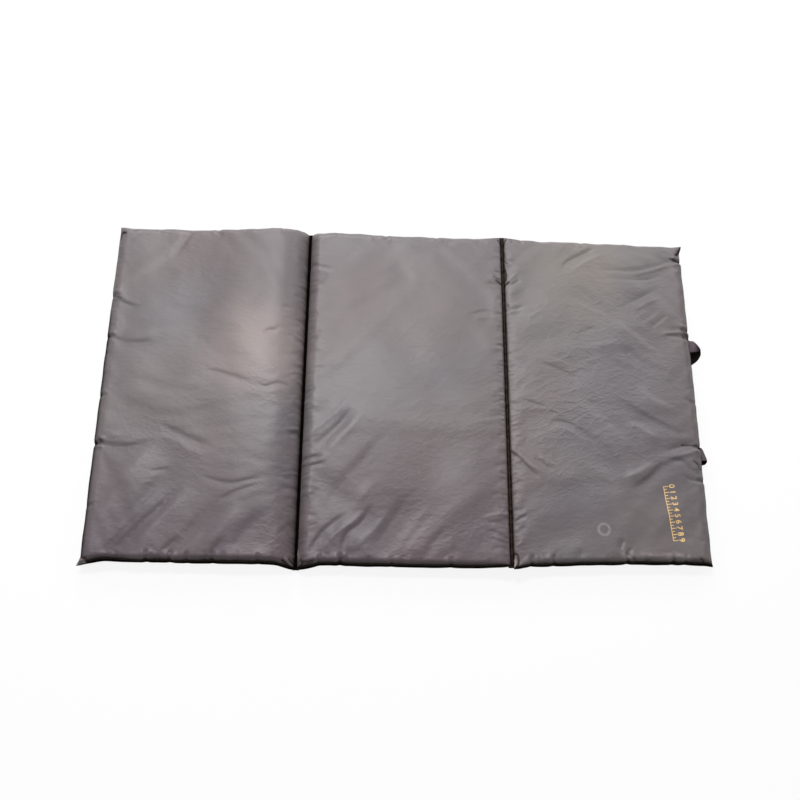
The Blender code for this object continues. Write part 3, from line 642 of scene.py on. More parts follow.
    def sewn_lines(self, columns, rows):
        """Even lines from one row of stitches to the other, that many each way."""
        first, last = self.left.edge + self.left.lip, self.right.edge - self.right.lip
        return np.linspace(first, last, columns), np.linspace(-HALF_DEPTH + LIP, HALF_DEPTH - LIP, rows)

    def hinge_gap(self, x):
        """How far a point is from the nearest hinge side."""
        gaps = [side.distance(x) for side in (self.left, self.right) if not side.free]
        return np.minimum.reduce(gaps)

    def border_distance(self, x, y):
        """How far a point of the plan is inside the nearest row of stitches."""
        sides = np.minimum(self.left.distance(x) - self.left.lip, self.right.distance(x) - self.right.lip)
        return np.minimum(sides, HALF_DEPTH - LIP - np.abs(y))


def joined_lines(first, last):
    """Two groups of close lines with even ones between them."""
    gap = last[0] - first[-1]
    count = max(int(round(gap / NET_STEP)), 2)
    between = [first[-1] + gap * k / count for k in range(1, count)]
    return np.array(list(first) + between + list(last))


POCKETS = {
    "left": Pocket(
        "left",
        Side(SHEETS["left"][0].x + EAR, 1, EDGE_SEAM_Z, True, EDGE_ROLL, UNDER_ROLL),
        Side(SHEETS["left"][1].x + HINGE_OVERHANG, -1, LOW_SEAM_Z, False, SWELL_ROLL, HINGE_UNDER_ROLL),
        SWELL,
    ),
    "centre": Pocket(
        "centre",
        Side(SHEETS["centre"][0].x - HINGE_OVERHANG, 1, LOW_SEAM_Z, False, HINGE_ROLL, HINGE_UNDER_ROLL),
        Side(SHEETS["centre"][1].x + HINGE_OVERHANG, -1, HIGH_SEAM_Z, False, HINGE_ROLL, HINGE_UNDER_ROLL),
    ),
    "right": Pocket(
        "right",
        Side(SHEETS["right"][0].x - HINGE_OVERHANG, 1, HIGH_SEAM_Z, False, HINGE_ROLL, HINGE_UNDER_ROLL),
        Side(SHEETS["right"][1].x - EAR, -1, EDGE_SEAM_Z, True, EDGE_ROLL, HANDLE_UNDER_ROLL),
    ),
}
BODIES = {"left": "left_panel", "centre": "centre_panel", "right": "right_panel"}
SEEDS = {"left": 11, "centre": 23, "right": 37}
# A panel for each web, though nothing here makes the web bend with it, and the seed of its cloth and stitches
HINGES = {"low": ("left_panel", 5), "high": ("right_panel", 8)}


def curved_path(points, steps=PATH_STEPS):
    """A smooth curve through a few points, with that many steps from each to the next."""
    points = [np.asarray(point, float) for point in points]
    curve = []
    for k in range(len(points) - 1):
        before, start, end = points[max(k - 1, 0)], points[k], points[k + 1]
        after = points[min(k + 2, len(points) - 1)]
        for step in range(steps):
            t = step / steps
            turn = (end - before) * t + (2 * before - 5 * start + 4 * end - after) * t**2
            curve.append(start + (turn + (3 * start - before - 3 * end + after) * t**3) / 2)
    return np.array(curve + [points[-1]])


def crease(x, y, path, width, open_ends=(False, False), lean=0.0):
    """Height share of one fold over a grid: 1 along its path, 0 a few widths aside and at its closed ends.

    Lean makes the fold steeper on the left of its path and gentler on the right.
    """
    low, high = path.min(axis=0) - CREASE_REACH * width, path.max(axis=0) + CREASE_REACH * width
    near = (x > low[0]) & (x < high[0]) & (y > low[1]) & (y < high[1])
    share = np.zeros(x.shape)
    if not near.any():
        return share
    px, py = x[near], y[near]
    steps = np.diff(path, axis=0)
    lengths = np.hypot(steps[:, 0], steps[:, 1])
    nearest, travel, aside, done = np.full(px.shape, np.inf), np.zeros(px.shape), np.zeros(px.shape), 0.0
    for start, step, length in zip(path[:-1], steps, lengths):
        along = np.clip(((px - start[0]) * step[0] + (py - start[1]) * step[1]) / length**2, 0, 1)
        distance = np.hypot(px - start[0] - along * step[0], py - start[1] - along * step[1])
        closer = distance < nearest
        nearest = np.where(closer, distance, nearest)
        travel = np.where(closer, done + along * length, travel)
        turn = step[0] * (py - start[1]) - step[1] * (px - start[0])
        aside = np.where(closer, np.clip(turn / length / width, -1, 1), aside)
        done += length
    travel = travel / done
    taper = np.ones(px.shape)
    if not open_ends[0]:
        taper *= smooth(travel / FOLD_TAPER_SHARE)
    if not open_ends[1]:
        taper *= smooth((1 - travel) / FOLD_TAPER_SHARE)
    share[near] = np.exp(-((nearest / width / (1 - lean * aside)) ** FOLD_POWER)) * taper
    return share


def path_shares(path, whole):
    """The points of a table's path, as shares of the panel."""
    return [(across / whole, along / whole) for across, along in zip(path[::2], path[1::2])]


def drag_folds(pocket, x, y):
    """The long folds that run across a panel."""
    height = np.zeros(x.shape)
    lift_scale, width_scale = FOLD_SCALES[pocket.name]
    for lift, width, *path in FOLDS[pocket.name]:
        shares = path_shares(path, FOLD_PARTS)
        path = curved_path([pocket.place(*share) for share in shares])
        open_ends = [min(a, b, 1 - a, 1 - b) < BORDER_SHARE for a, b in (shares[0], shares[-1])]
        height += lift * lift_scale * MM * crease(x, y, path, width * width_scale * MM, open_ends, FOLD_LEAN)
    return height


def strokes(pocket, x, y):
    """Height and painted shade of the sharp folds and gaps, or painted highlight below 0, over places of the
    real plan.
    """
    height, dark = np.zeros(x.shape), np.zeros(x.shape)
    for strength, lift, width, *path in STROKES[pocket.name]:
        path = curved_path([pocket.sheet_place(*share) for share in path_shares(path, STROKE_PARTS)])
        share = crease(x, y, path, width * MM, (True, True))
        height += lift * MM * share
        dark = np.where(np.abs(strength * share) > np.abs(dark), strength * share, dark)
    return height, dark


def shading(pocket, x, y, dark, puckers):
    """Painted shade in the cloth's seams, gathers, sharp folds and steep borders. Below 0 it is a painted
    highlight.
    """
    end, soft = FRONT_SHADE
    shade = smooth((end - rolled(y + HALF_DEPTH - LIP, FRONT_ROLL, ROLL_POWERS["top"])) / soft)
    for side in (pocket.left, pocket.right):
        if side.free:
            share, reach = BORDER_SHADES["left" if side.inward > 0 else "right"]
            if side.inward > 0:
                start, soft = LEFT_SHADE_START
                share = share * (LEFT_SHADE_FLOOR + (1 - LEFT_SHADE_FLOOR) * smooth((start - y) / soft))
            shade = np.maximum(shade, share * smooth(1 - (side.distance(x) - side.lip) / (reach * MM)))
            continue
        share, reach = HINGE_SHADES[pocket.name, side.inward]
        away = np.maximum(side.distance(x) - side.lip, 0.0)
        near = np.exp(-away / (reach * MM))
        gathered = GATHER_SHADE * np.clip(-puckers / MM, 0.0, 1.0) * np.exp(-away / GATHER_SHADE_REACH)
        shade = np.maximum(shade, np.clip(share * near + gathered, 0.0, 1.0))
    return np.where(dark < 0, dark, np.maximum(shade, dark))


def border_line(pocket, side, share):
    """A point of a pocket's border and the direction inwards from it."""
    if side in ("left", "right"):
        edge = pocket.left if side == "left" else pocket.right
        place = [edge.edge + edge.inward * edge.lip, HALF_DEPTH * (2 * share - 1)]
        return np.array(place), np.array([edge.inward, 0.0])
    inward = 1 if side == "front" else -1
    x = pocket.left.edge + share * 2 * pocket.half
    return np.array([x, -inward * (HALF_DEPTH - LIP)]), np.array([0.0, inward])


def pinches(pocket, x, y):
    """The sharp dents at the border, and how far each draws the border in, as a height and a plan shift."""
    height, shift = np.zeros(x.shape), np.zeros(x.shape + (2,))
    for side, share, depth in PINCHES[pocket.name]:
        start, inward = border_line(pocket, side, share)
        aside = np.array([-inward[1], inward[0]])
        deep = depth * MM
        reach = PINCH_REACHES[0] + PINCH_REACHES[1] * depth
        ridges = [(sign * PINCH_RIDGE_OFFSET, PINCH_RIDGE_SHARE) for sign in (-1, 1)]
        for offset, lift in [(0, -1)] + ridges:
            first = start + aside * offset
            path = np.array([first, first + inward * PINCH_LENGTH * reach + aside * offset * PINCH_SPREAD])
            height += lift * deep * crease(x, y, path, PINCH_WIDTH * PINCH_CREASE_SHARE, (True, False))
        to_start = np.stack([x - start[0], y - start[1]], axis=-1)
        along = to_start @ aside
        across = to_start @ inward
        pull = np.exp(-((along / PINCH_WIDTH) ** 2)) * np.exp(-np.abs(across) / PINCH_LENGTH)
        shift += (pull * deep * PINCH_INDENT_SHARE)[..., None] * inward
    return height, shift


def gathers(pocket, x, y, rng):
    """Short puckers beside each row of stitches, denser along the hinges than round the border."""
    height = np.zeros(x.shape)
    for side in ("left", "right", "front", "back"):
        hinge = side in ("left", "right") and not getattr(pocket, side).free
        kind = "hinge" if hinge else "border"
        length = 2 * HALF_DEPTH if side in ("left", "right") else 2 * pocket.half
        count = int(length / GATHER_SPACING[kind])
        for k in range(count):
            share = (k + 0.5 + rng.uniform(-GATHER_JITTER, GATHER_JITTER)) / count
            start, inward = border_line(pocket, side, share)
            aside = np.array([-inward[1], inward[0]])
            reach = rng.uniform(*GATHER_LENGTH[kind]) * rng.uniform(*GATHER_SHORTENING)
            end = start + inward * reach + aside * reach * rng.uniform(-GATHER_SLANT, GATHER_SLANT)
            bend = (start + end) / 2 + aside * reach * rng.uniform(-GATHER_BEND, GATHER_BEND)
            deep = rng.uniform(*GATHER_DEPTH[kind]) * (-1 if rng.uniform() < GATHER_DENTS else GATHER_RISE)
            width = rng.uniform(*GATHER_WIDTH) * (1 + reach / GATHER_WIDENING)
            height += deep * crease(x, y, curved_path([start, bend, end]), width, (True, False))
    return height


def scallops(pocket, x, y, rng):
    """The little bites that the hinge's stitches take out of the cloth beside them."""
    height = np.zeros(x.shape)
    for side in (pocket.left, pocket.right):
        if side.free:
            continue
        ripple = np.zeros(x.shape)
        for _ in range(SCALLOP_COUNT):
            ripple += np.sin(y * 2 * math.pi / rng.uniform(*SCALLOP_LENGTH) + rng.uniform(0, 2 * math.pi))
        reach = np.maximum(side.distance(x) - side.lip, 0.0) / SCALLOP_REACH
        bite = -SCALLOP_DEPTH * np.clip(ripple / 2, 0.0, SCALLOP_LIMIT) * reach
        height += bite * np.exp(1 - reach) * np.exp(-reach)
    return height


def slow_waves(x, y, rng):
    """Shallow unevenness of cloth over foam, as a sum of waves in many directions."""
    height = np.zeros(x.shape)
    for _ in range(WAVE_COUNT):
        angle, phase = rng.uniform(0, math.pi), rng.uniform(0, 2 * math.pi)
        turn = 2 * math.pi / rng.uniform(*WAVE_LENGTH)
        height += WAVE_HEIGHT * np.sin((x * math.cos(angle) + y * math.sin(angle)) * turn + phase)
    return height


def border_wave(x, y, rng):
    """How the sewn border rises and dips as it goes round."""
    height = np.zeros(x.shape)
    for _ in range(BORDER_WAVE_COUNT):
        turn = 2 * math.pi / rng.uniform(*BORDER_WAVE_LENGTH)
        place = x * rng.choice((-1, 1)) + y
        height += BORDER_WAVE_HEIGHT * np.sin(place * turn + rng.uniform(0, 2 * math.pi))
    return height


def grid_normals(points):
    """Unit normals of a grid of points, turned up."""
    across = np.gradient(points, axis=0)
    along = np.gradient(points, axis=1)
    normals = np.cross(across, along)
    return normals / np.maximum(np.linalg.norm(normals, axis=-1, keepdims=True), 1e-12)


def cloth_form(pocket, x, y, settings):
    """The top face over a grid: its smooth form and normals, its folds' lift and shift, and its shade."""
    rng = np.random.default_rng(SEEDS[pocket.name])
    settled = smooth((pocket.border_distance(x, y) + SETTLE_START) / SETTLE_WIDTH)
    dent, shift = pinches(pocket, x, y)
    folds = drag_folds(pocket, x, y) * settings.fold_scale
    folds = np.where(folds < 0, FOLD_DEPTH_LIMIT * np.tanh(folds / FOLD_DEPTH_LIMIT), folds)
    puckers = (gathers(pocket, x, y, rng) + scallops(pocket, x, y, rng)) * settings.gather_scale
    form = pocket.points(x, y, "top")
    sharp, dark = strokes(pocket, form[..., 0], form[..., 1])
    shade = shading(pocket, x, y, dark, puckers)
    return form, grid_normals(form), (folds + puckers + dent) * settled + sharp, shift, shade


def grid_quads(shape):
    """The quads of a grid of vertices, turned up."""
    index = np.arange(shape[0] * shape[1]).reshape(shape)
    return np.stack([index[:-1, :-1], index[1:, :-1], index[1:, 1:], index[:-1, 1:]], axis=-1).reshape(-1, 4)


def linked(name, data):
    """A new object in the scene, from its data."""
    obj = bpy.data.objects.new(name, data)
    bpy.context.scene.collection.objects.link(obj)
    return obj


def scratch_grid(name, points):
    """A plain mesh object from a grid of points, for the simulation alone."""
    mesh = bpy.data.meshes.new(name)
    mesh.from_pydata(points.reshape(-1, 3).tolist(), [], grid_quads(points.shape[:2]).tolist())
    mesh.update()
    return linked(name, mesh)


def simulated_lift(pocket, settings):
    """Lets the top cloth settle, and gives its grid lines and how far each point moved off its start."""
    width, depth = 2 * pocket.half - pocket.left.lip - pocket.right.lip, 2 * (HALF_DEPTH - LIP)
    columns, rows = pocket.sewn_lines(int(width / CLOTH_STEP), int(depth / CLOTH_STEP))
    x, y = np.meshgrid(columns, rows, indexing="ij")
    form, normals, lift, _, _ = cloth_form(pocket, x, y, settings)
    start = form + normals * lift[..., None]
    cloth = scratch_grid("cloth_" + pocket.name, start)
    foam = scratch_grid("foam_" + pocket.name, form - normals * FOAM_DROP)
    foam.modifiers.new("Collision", "COLLISION")
    foam.collision.thickness_outer = CLOTH_SKIN
    foam.collision.cloth_friction = CLOTH_FRICTION
    held = np.clip(1 - pocket.border_distance(x, y).reshape(-1) / CLOTH_HELD, 0.0, 1.0)
    group = cloth.vertex_groups.new(name="sewn")
    for k in np.flatnonzero(held > 0):
        group.add([int(k)], float(held[k]), "REPLACE")
    modifier = cloth.modifiers.new("Cloth", "CLOTH")
    fabric = modifier.settings
    fabric.quality, fabric.mass, fabric.air_damping = CLOTH_QUALITY, CLOTH_MASS, CLOTH_DAMPING
    fabric.tension_stiffness = fabric.compression_stiffness = CLOTH_TENSION
    fabric.shear_stiffness, fabric.bending_stiffness = CLOTH_SHEAR, CLOTH_BENDING
    fabric.shrink_min = fabric.shrink_max = -CLOTH_GROWTH
    fabric.vertex_group_mass, fabric.pin_stiffness = group.name, CLOTH_PIN
    fabric.effector_weights.gravity = CLOTH_GRAVITY
    modifier.collision_settings.distance_min = CLOTH_SKIN
    modifier.collision_settings.use_self_collision = False
    for frame_number in range(1, CLOTH_FRAMES + 1):
        bpy.context.scene.frame_set(frame_number)
    settled = cloth.evaluated_get(bpy.context.evaluated_depsgraph_get()).to_mesh()
    ended = np.empty(start.size, np.float32)
    settled.vertices.foreach_get("co", ended)
    bpy.context.scene.frame_set(1)
    for obj in (cloth, foam):
        mesh = obj.data
        bpy.data.objects.remove(obj, do_unlink=True)
        bpy.data.meshes.remove(mesh)
    move = ((ended.reshape(start.shape) - start) * normals).sum(axis=-1)
    return columns, rows, np.clip(move, -CLOTH_CAP, CLOTH_CAP)


def eased(values, at, to):
    """Reads values along their first axis at other places, with a smooth curve through them."""
    slopes = np.gradient(values, at, axis=0)
    k = np.clip(np.searchsorted(at, to) - 1, 0, len(at) - 2)
    gap = at[k + 1] - at[k]
    t = np.clip((to - at[k]) / gap, 0.0, 1.0)[:, None]
    gap = gap[:, None]
    start, end = values[k] * (1 + 2 * t) * (1 - t) ** 2, values[k + 1] * t * t * (3 - 2 * t)
    return start + end + slopes[k] * gap * t * (1 - t) ** 2 - slopes[k + 1] * gap * t * t * (1 - t)


def cover_faces(pocket, settings):
    """Points of a pocket's top and under faces over one grid, with each top point's fold height and shade."""
    if pocket.name in COVERS:
        return COVERS[pocket.name]
    columns, rows = pocket.columns(), pocket.rows()
    x, y = np.meshgrid(columns, rows, indexing="ij")
    inside = pocket.border_distance(x, y)
    top, normals, lift, shift, shade = cloth_form(pocket, x, y, settings)
    relief = lift
    at_x, at_y, move = simulated_lift(pocket, settings)
    move = eased(eased(move, at_x, columns).T, at_y, rows).T
    lift = lift + move * settings.cloth_share * smooth(inside / CLOTH_REACH)
    rng = np.random.default_rng(SEEDS[pocket.name] + 1)
    lift = lift + slow_waves(x, y, rng) * smooth(inside / WAVE_REACH)
    under = pocket.points(x, y, "under")
    top = top + normals * lift[..., None]
    near_border = np.exp(-np.maximum(inside, 0) / BORDER_REACH)
    rise = border_wave(x, y, rng) * near_border * np.minimum(pocket.hinge_gap(x) / HINGE_REACH, 1.0)
    for face in (top, under):
        face[..., 2] += rise
        face[..., 0] += shift[..., 0] * near_border
        face[..., 1] += shift[..., 1] * near_border
    under[..., 2] = np.maximum(under[..., 2], UNDER_CLEARANCE)
    COVERS[pocket.name] = top, under, relief, shade
    return COVERS[pocket.name]


def closed_net(top, under):
    """Vertices and quads of one closed form from two grids that share their border."""
    nx, ny = top.shape[:2]
    index = np.arange(nx * ny).reshape(nx, ny)
    inner = np.arange((nx - 2) * (ny - 2)).reshape(nx - 2, ny - 2) + nx * ny
    below = index.copy()
    below[1:-1, 1:-1] = inner
    points = np.concatenate([top.reshape(-1, 3), under[1:-1, 1:-1].reshape(-1, 3)])
    quads = [
        grid_quads(top.shape[:2]),
        np.stack([below[:-1, :-1], below[:-1, 1:], below[1:, 1:], below[1:, :-1]], axis=-1).reshape(-1, 4),
    ]
    return points, quads


def mesh_piece(name, points, quads, materials, sharp=None):
    """A smooth-shaded object from points and groups of faces, one material to a group."""
    mesh = bpy.data.meshes.new(name)
    groups = quads if isinstance(quads, list) else [quads]
    mesh.from_pydata(points.tolist(), [], np.concatenate(groups).tolist())
    for material in materials:
        mesh.materials.append(material)
    last = len(materials) - 1
    owners = np.concatenate([np.full(len(group), min(k, last)) for k, group in enumerate(groups)])
    mesh.polygons.foreach_set("material_index", owners.astype(np.int32))
    mesh.shade_smooth()
    if sharp:
        mesh.set_sharp_from_angle(angle=sharp)
    mesh.update()
    return linked(name, mesh)


def point_values(obj, name, values):
    """Keeps one number at each vertex for the piece's material."""
    attribute = obj.data.attributes.new(name, "FLOAT", "POINT")
    attribute.data.foreach_set("value", np.asarray(values, np.float32))


class Value:
    """A number that varies over a surface, so that shader maths reads as ordinary maths."""

    def __init__(self, finish, socket):
        self.finish, self.socket = finish, socket

    def maths(self, operation, *values):
        return self.finish.node("ShaderNodeMath", {"operation": operation}, dict(enumerate(values)))

    def __add__(self, other):
        return self.maths("ADD", self, other)

    def __sub__(self, other):
        return self.maths("SUBTRACT", self, other)

    def __rsub__(self, other):
        return self.maths("SUBTRACT", other, self)

    def __mul__(self, other):
        return self.maths("MULTIPLY", self, other)

    def __truediv__(self, other):
        return self.maths("DIVIDE", self, other)

    def __pow__(self, other):
        return self.maths("POWER", self, other)

    def __abs__(self):
        return self.maths("ABSOLUTE", self)

    def clamped(self):
        return self.finish.node("ShaderNodeClamp", {}, {"Value": self}, "Result")

    def above(self, start, gain):
        """0 up to a start, and from there on rising to 1 by that gain."""
        return ((self - start) * gain).clamped()

    def below(self, edge, width):
        """1 under an edge and 0 over it, with a soft step of that width."""
        return (1 - (self - edge) / width).clamped()

    __radd__ = __add__
    __rmul__ = __mul__


class Finish:
    """The nodes of one material."""

    def __init__(self, name, colour, roughness):
        self.material = bpy.data.materials.new(name)
        self.material.use_nodes = True
        self.material.diffuse_color = (*colour, 1.0)
        self.tree = self.material.node_tree
        self.shader = self.tree.nodes["Principled BSDF"]
        self.shader.inputs["Base Color"].default_value = (*colour, 1.0)
        self.shader.inputs["Roughness"].default_value = roughness
        self.colour = colour

    def node(self, kind, settings, inputs, output=0):
        """Adds a node of a kind, with its settings made first and then the values or links of its sockets."""
        made = self.tree.nodes.new(kind)
        for name, value in settings.items():
            setattr(made, name, value)
        for name, value in inputs.items():
            if isinstance(value, Value):
                self.tree.links.new(value.socket, made.inputs[name])
            else:
                made.inputs[name].default_value = value
        return Value(self, made.outputs[output])

    def place(self):
        return self.node("ShaderNodeTexCoord", {}, {}, "Object")

    def give_way(self, share, other):
        """Lets another shader take the place of the material's own, by a share."""
        mix = self.tree.nodes.new("ShaderNodeMixShader")
        self.tree.links.new(share.socket, mix.inputs[0])
        self.tree.links.new(self.shader.outputs[0], mix.inputs[1])
        self.tree.links.new(other.outputs[0], mix.inputs[2])
        self.tree.links.new(mix.outputs[0], self.tree.nodes["Material Output"].inputs["Surface"])

    def shadowed(self, dark):
        """Paints shade into deep folds: a near-black matt shader takes the cloth's place there."""
        deep = self.tree.nodes.new("ShaderNodeBsdfDiffuse")
        deep.inputs["Color"].default_value = self.tint(0.07, 0.3)
        self.give_way(dark, deep)

    def tint(self, factor, warmth=0.0):
        """The material's own colour made darker or lighter, and warmer or cooler."""
        red, green, blue = self.colour
        return (red * factor * (1 + warmth), green * factor, blue * factor * (1 - warmth), 1.0)

    def kept(self, name):
        """A number that the mesh keeps at each vertex."""
        return self.node("ShaderNodeAttribute", {"attribute_name": name}, {}, "Fac")

    def axis(self, place, axis):
        return self.node("ShaderNodeSeparateXYZ", {}, {0: place}, axis)

    def mapped(self, place, scale, turn=(0, 0, 0)):
        values = {"Vector": place, "Scale": scale, "Rotation": turn}
        return self.node("ShaderNodeMapping", {}, values, "Vector")

    def noise(self, place, wavelength, detail=2.0, roughness=0.5):
        values = {"Vector": place, "Scale": 1 / wavelength, "Detail": detail, "Roughness": roughness}
        return self.node("ShaderNodeTexNoise", {}, values, "Fac")

    def blend(self, share, first, second):
        """A colour part way from the first to the second."""
        values = {"Factor": share, 6: first, 7: second}
        return self.node("ShaderNodeMix", {"data_type": "RGBA"}, values, 2)

    def bump(self, height, distance, strength=1.0, over=None):
        values = {"Height": height, "Distance": distance, "Strength": strength}
        if over is not None:
            values["Normal"] = over
        return self.node("ShaderNodeBump", {}, values, "Normal")

    def send(self, socket, value):
        self.tree.links.new(value.socket, self.shader.inputs[socket])

    def rough(self, middle, grain, spread):
        """Roughness that varies about its middle with a grain of the surface."""
        self.send("Roughness", (middle + (grain - 0.5) * spread).clamped())

    def fix(self, **constants):
        """Sets numbers that are the same all over the surface."""
        for name, value in constants.items():
            self.shader.inputs[name.replace("_", " ")].default_value = value


def weave_height(finish, place, pitch):
    """Height of a plain weave: threads pass over and under each other in two directions."""
    turn = math.pi / pitch
    x, y = finish.axis(place, "X"), finish.axis(place, "Y")
    warp = finish.node("ShaderNodeMath", {"operation": "SINE"}, {0: x * turn})
    weft = finish.node("ShaderNodeMath", {"operation": "SINE"}, {0: y * turn})
    return warp * weft


def nylon_finish(colours):
    """Coated nylon: mauve and neutral greys that drift over the cloth, a fine weave and faint creases, with
    painted shade and painted highlights.
    """
    finish = Finish("coated_nylon_cloth", tuple(colours.nylon), 0.47)
    place = finish.place()
    drift = finish.noise(place, NYLON_DRIFT, 2.5)
    patch = finish.noise(finish.mapped(place, (1.0, 0.45, 1.0)), NYLON_PATCH, 3.0, 0.6)
    mauve = (drift * 0.9 + patch * 0.1).above(0.36, 2.6)
    colour = finish.blend(mauve, finish.tint(1.02, -0.02), finish.tint(1.0, 0.045))
    fold = finish.kept("fold")
    dark = finish.kept("shade")
    tone_and_painted_light = (patch * 0.35 + drift * 0.65 - 0.5) * NYLON_WEAR
    # Painted light and shade from the folds: lighter on their crests, darker in their hollows
    shade = 1 + tone_and_painted_light + fold * NYLON_FOLD_LIGHT
    channels = [shade + part for part in wear(finish, place)]
    grey = finish.node("ShaderNodeCombineXYZ", {}, dict(enumerate(channels)))
    colour = finish.node("ShaderNodeVectorMath", {"operation": "MULTIPLY"}, {0: colour, 1: grey}, "Vector")
    # Painted shade in the seams, gathers, sharp folds and steep borders, near-black where deepest, and
    # painted highlights where the shade is below 0
    colour = finish.blend(dark.clamped(), colour, finish.tint(0.20, 0.25))
    finish.shadowed((abs(dark) * dark * NYLON_DARK).clamped())
    colour = finish.blend((dark * -NYLON_PALE).clamped(), colour, finish.tint(2.3, 0.05))
    ring = scuff_mask(finish, place)
    colour = finish.blend((ring * SCUFF_STRENGTH).clamped(), colour, finish.tint(2.6, -0.02))
    finish.send("Base Color", colour)
    grain = finish.noise(place, NYLON_GRAIN[0], 3.0, 0.6)
    rough = 0.455 + (grain - 0.5) * 0.10 + (drift - 0.5) * 0.06 + dark.clamped() * 0.2
    finish.send("Roughness", rough.clamped())
    slanted = finish.mapped(place, (1.0, 1.7, 1.0), (0, 0, 0.6))
    soft = finish.bump(finish.noise(slanted, NYLON_CREASES[0], 4.0, 0.55), NYLON_CREASES[1], 0.6)
    soft = finish.bump(wrinkles(finish, place), WRINKLE_HEIGHT, 0.7, soft)
    fine = finish.bump(grain, NYLON_GRAIN[1], 0.6, soft)
    pitch, depth = NYLON_WEAVE
    finish.send("Normal", finish.bump(weave_height(finish, place, pitch), depth, 0.6, fine))
    finish.fix(Specular_IOR_Level=0.5, Sheen_Weight=0.06, Sheen_Roughness=0.5)
    finish.fix(Coat_Weight=0.05, Coat_Roughness=0.33)
    return finish.material


def patch_share(x, y, middle, half):
    """1 in the middle of an oval patch and 0 well outside it."""
    across, along = (x - middle[0]) * (1 / half[0]), (y - middle[1]) * (1 / half[1])
    return (1 - (across * across + along * along) * 0.5).clamped()


def wrinkles(finish, place):
    """Thin crossing ridges in the coating, strongest where the cloth is most crumpled."""
    x, y = finish.axis(place, "X"), finish.axis(place, "Y")
    height = None
    for turn, size in zip(WRINKLE_TURNS, WRINKLE_SIZES):
        turned = finish.mapped(place, (1.0, 1.0, 1.0), (0, 0, turn))
        wave = finish.noise(finish.mapped(turned, (1.0, WRINKLE_STRETCH, 1.0)), size, 1.5, 0.5)
        ridge = (1 - abs(wave - 0.5) * WRINKLE_SHARPNESS).clamped()
        height = ridge if height is None else height + ridge
    spread = finish.noise(place, 90 * MM, 1.0)
    near = patch_share(x, y, *WRINKLED_PATCH)
    return height * (spread.above(0.42, 3) * 0.5 + near * 0.8)


def wear(finish, place):
    """Painted highlight and painted shade: how much redder, greener and bluer the cloth is made, in patches
    and towards the front.
    """
    x, y = finish.axis(place, "X"), finish.axis(place, "Y")
    start, end, shares = PAINTED_SHADE_TOWARDS_FRONT
    high, low = PAINTED_SHADE_TOWARDS_FRONT_SIDE
    painted_front_darkening = ((y - start) * (1 / (end - start))).clamped() * ((x - high) * (1 / (low - high))).clamped()
    tone_and_painted_light = [painted_front_darkening * share for share in shares]
    for middle, half, shares in PAINTED_LIGHT_AND_SHADE_PATCHES:
        near = patch_share(x, y, middle, half)
        near = near * near
        tone_and_painted_light = [value + near * share for value, share in zip(tone_and_painted_light, shares)]
    return tone_and_painted_light


def scuff_mask(finish, place):
    """A faint scuffed ring in the coating."""
    across = finish.axis(place, "X") - SCUFF_PLACE[0]
    along = finish.axis(place, "Y") - SCUFF_PLACE[1]
    away = (across * across + along * along) ** 0.5
    size, swing = SCUFF_WOBBLE
    off_line = abs(away + finish.noise(place, size, 2.0) * swing - (SCUFF_RADIUS + swing / 2))
    return off_line.below(*SCUFF_LINE) * (finish.noise(place, SCUFF_SPECKS) + SCUFF_LEAST)


def underside_finish(colours):
    """The darker, matt cloth of the base."""
    finish = Finish("base_nylon_cloth", tuple(colours.underside), 0.62)
    place = finish.place()
    drift = finish.noise(place, 70 * MM, 3.0)
    dust = finish.noise(place, 9 * MM, 4.0, 0.65)
    colour = finish.blend(drift.above(0.3, 2.0), finish.tint(0.85), finish.tint(1.15, 0.04))
    finish.send("Base Color", finish.blend(dust.above(0.55, 1.6), colour, finish.tint(1.9, 0.05)))
    finish.rough(0.58, dust, 0.16)
    soft = finish.bump(finish.noise(place, 20 * MM, 3.0), 0.9 * MM, 0.5)
    finish.send("Normal", finish.bump(weave_height(finish, place, 0.8 * MM), 0.07 * MM, 0.6, soft))
    return finish.material


def dark_cloth_finish(name, colour, roughness, ribs, pitch):
    """Dark woven cloth. With ribs, its weave and the painted shade on its inner face follow that vector of
    the mesh.
    """
    finish = Finish(name, tuple(colour), roughness)
    place = finish.place()
    drift = finish.noise(place, 16 * MM, 3.0)
    rub = finish.noise(place, 3.5 * MM, 3.0, 0.65)
    colour = finish.blend(drift.above(0.35, 2.0), finish.tint(0.8), finish.tint(1.25, 0.05))
    colour = finish.blend(rub.above(0.58, 1.8), colour, finish.tint(2.2, 0.04))
    if ribs:
        lie = finish.node("ShaderNodeAttribute", {"attribute_name": ribs}, {}, "Vector")
        inner = finish.axis(lie, "Z").below(0.0, WEBBING_INNER)
    else:
        lie, inner = place, finish.kept("shade").clamped()
    # Painted shade: darker and near-black on the webbing's inner face, or where the hinge cloth's shade
    # attribute is high
    colour = finish.blend(inner, colour, finish.tint(0.2))
    finish.shadowed(inner * DARK_CLOTH_SHADE)
    finish.send("Base Color", colour)
    finish.rough(roughness, rub, 0.16)
    finish.fix(Specular_IOR_Level=WEBBING_SHINE if ribs else HINGE_SHINE)
    soft = finish.bump(rub, 0.12 * MM, 0.5)
    finish.send("Normal", finish.bump(weave_height(finish, lie, pitch), 0.16 * MM, 0.8, soft))
    return finish.material


def thread_finish(colours):
    """Twisted sewing thread."""
    finish = Finish("sewing_thread", tuple(colours.thread), 0.55)
    place = finish.place()
    fuzz = finish.noise(place, 1.4 * MM, 3.0)
    share = fuzz.above(0.4, 2.5)
    finish.send("Base Color", finish.blend(share, finish.tint(0.8), finish.tint(1.7, 0.05)))
    finish.rough(0.5, fuzz, 0.2)
    twist = finish.noise(finish.mapped(place, (1.0, 1.0, 1.0), (0, 0, 0.8)), 0.7 * MM, 2.0)
    finish.send("Normal", finish.bump(twist, 0.08 * MM, 0.7))
    return finish.material


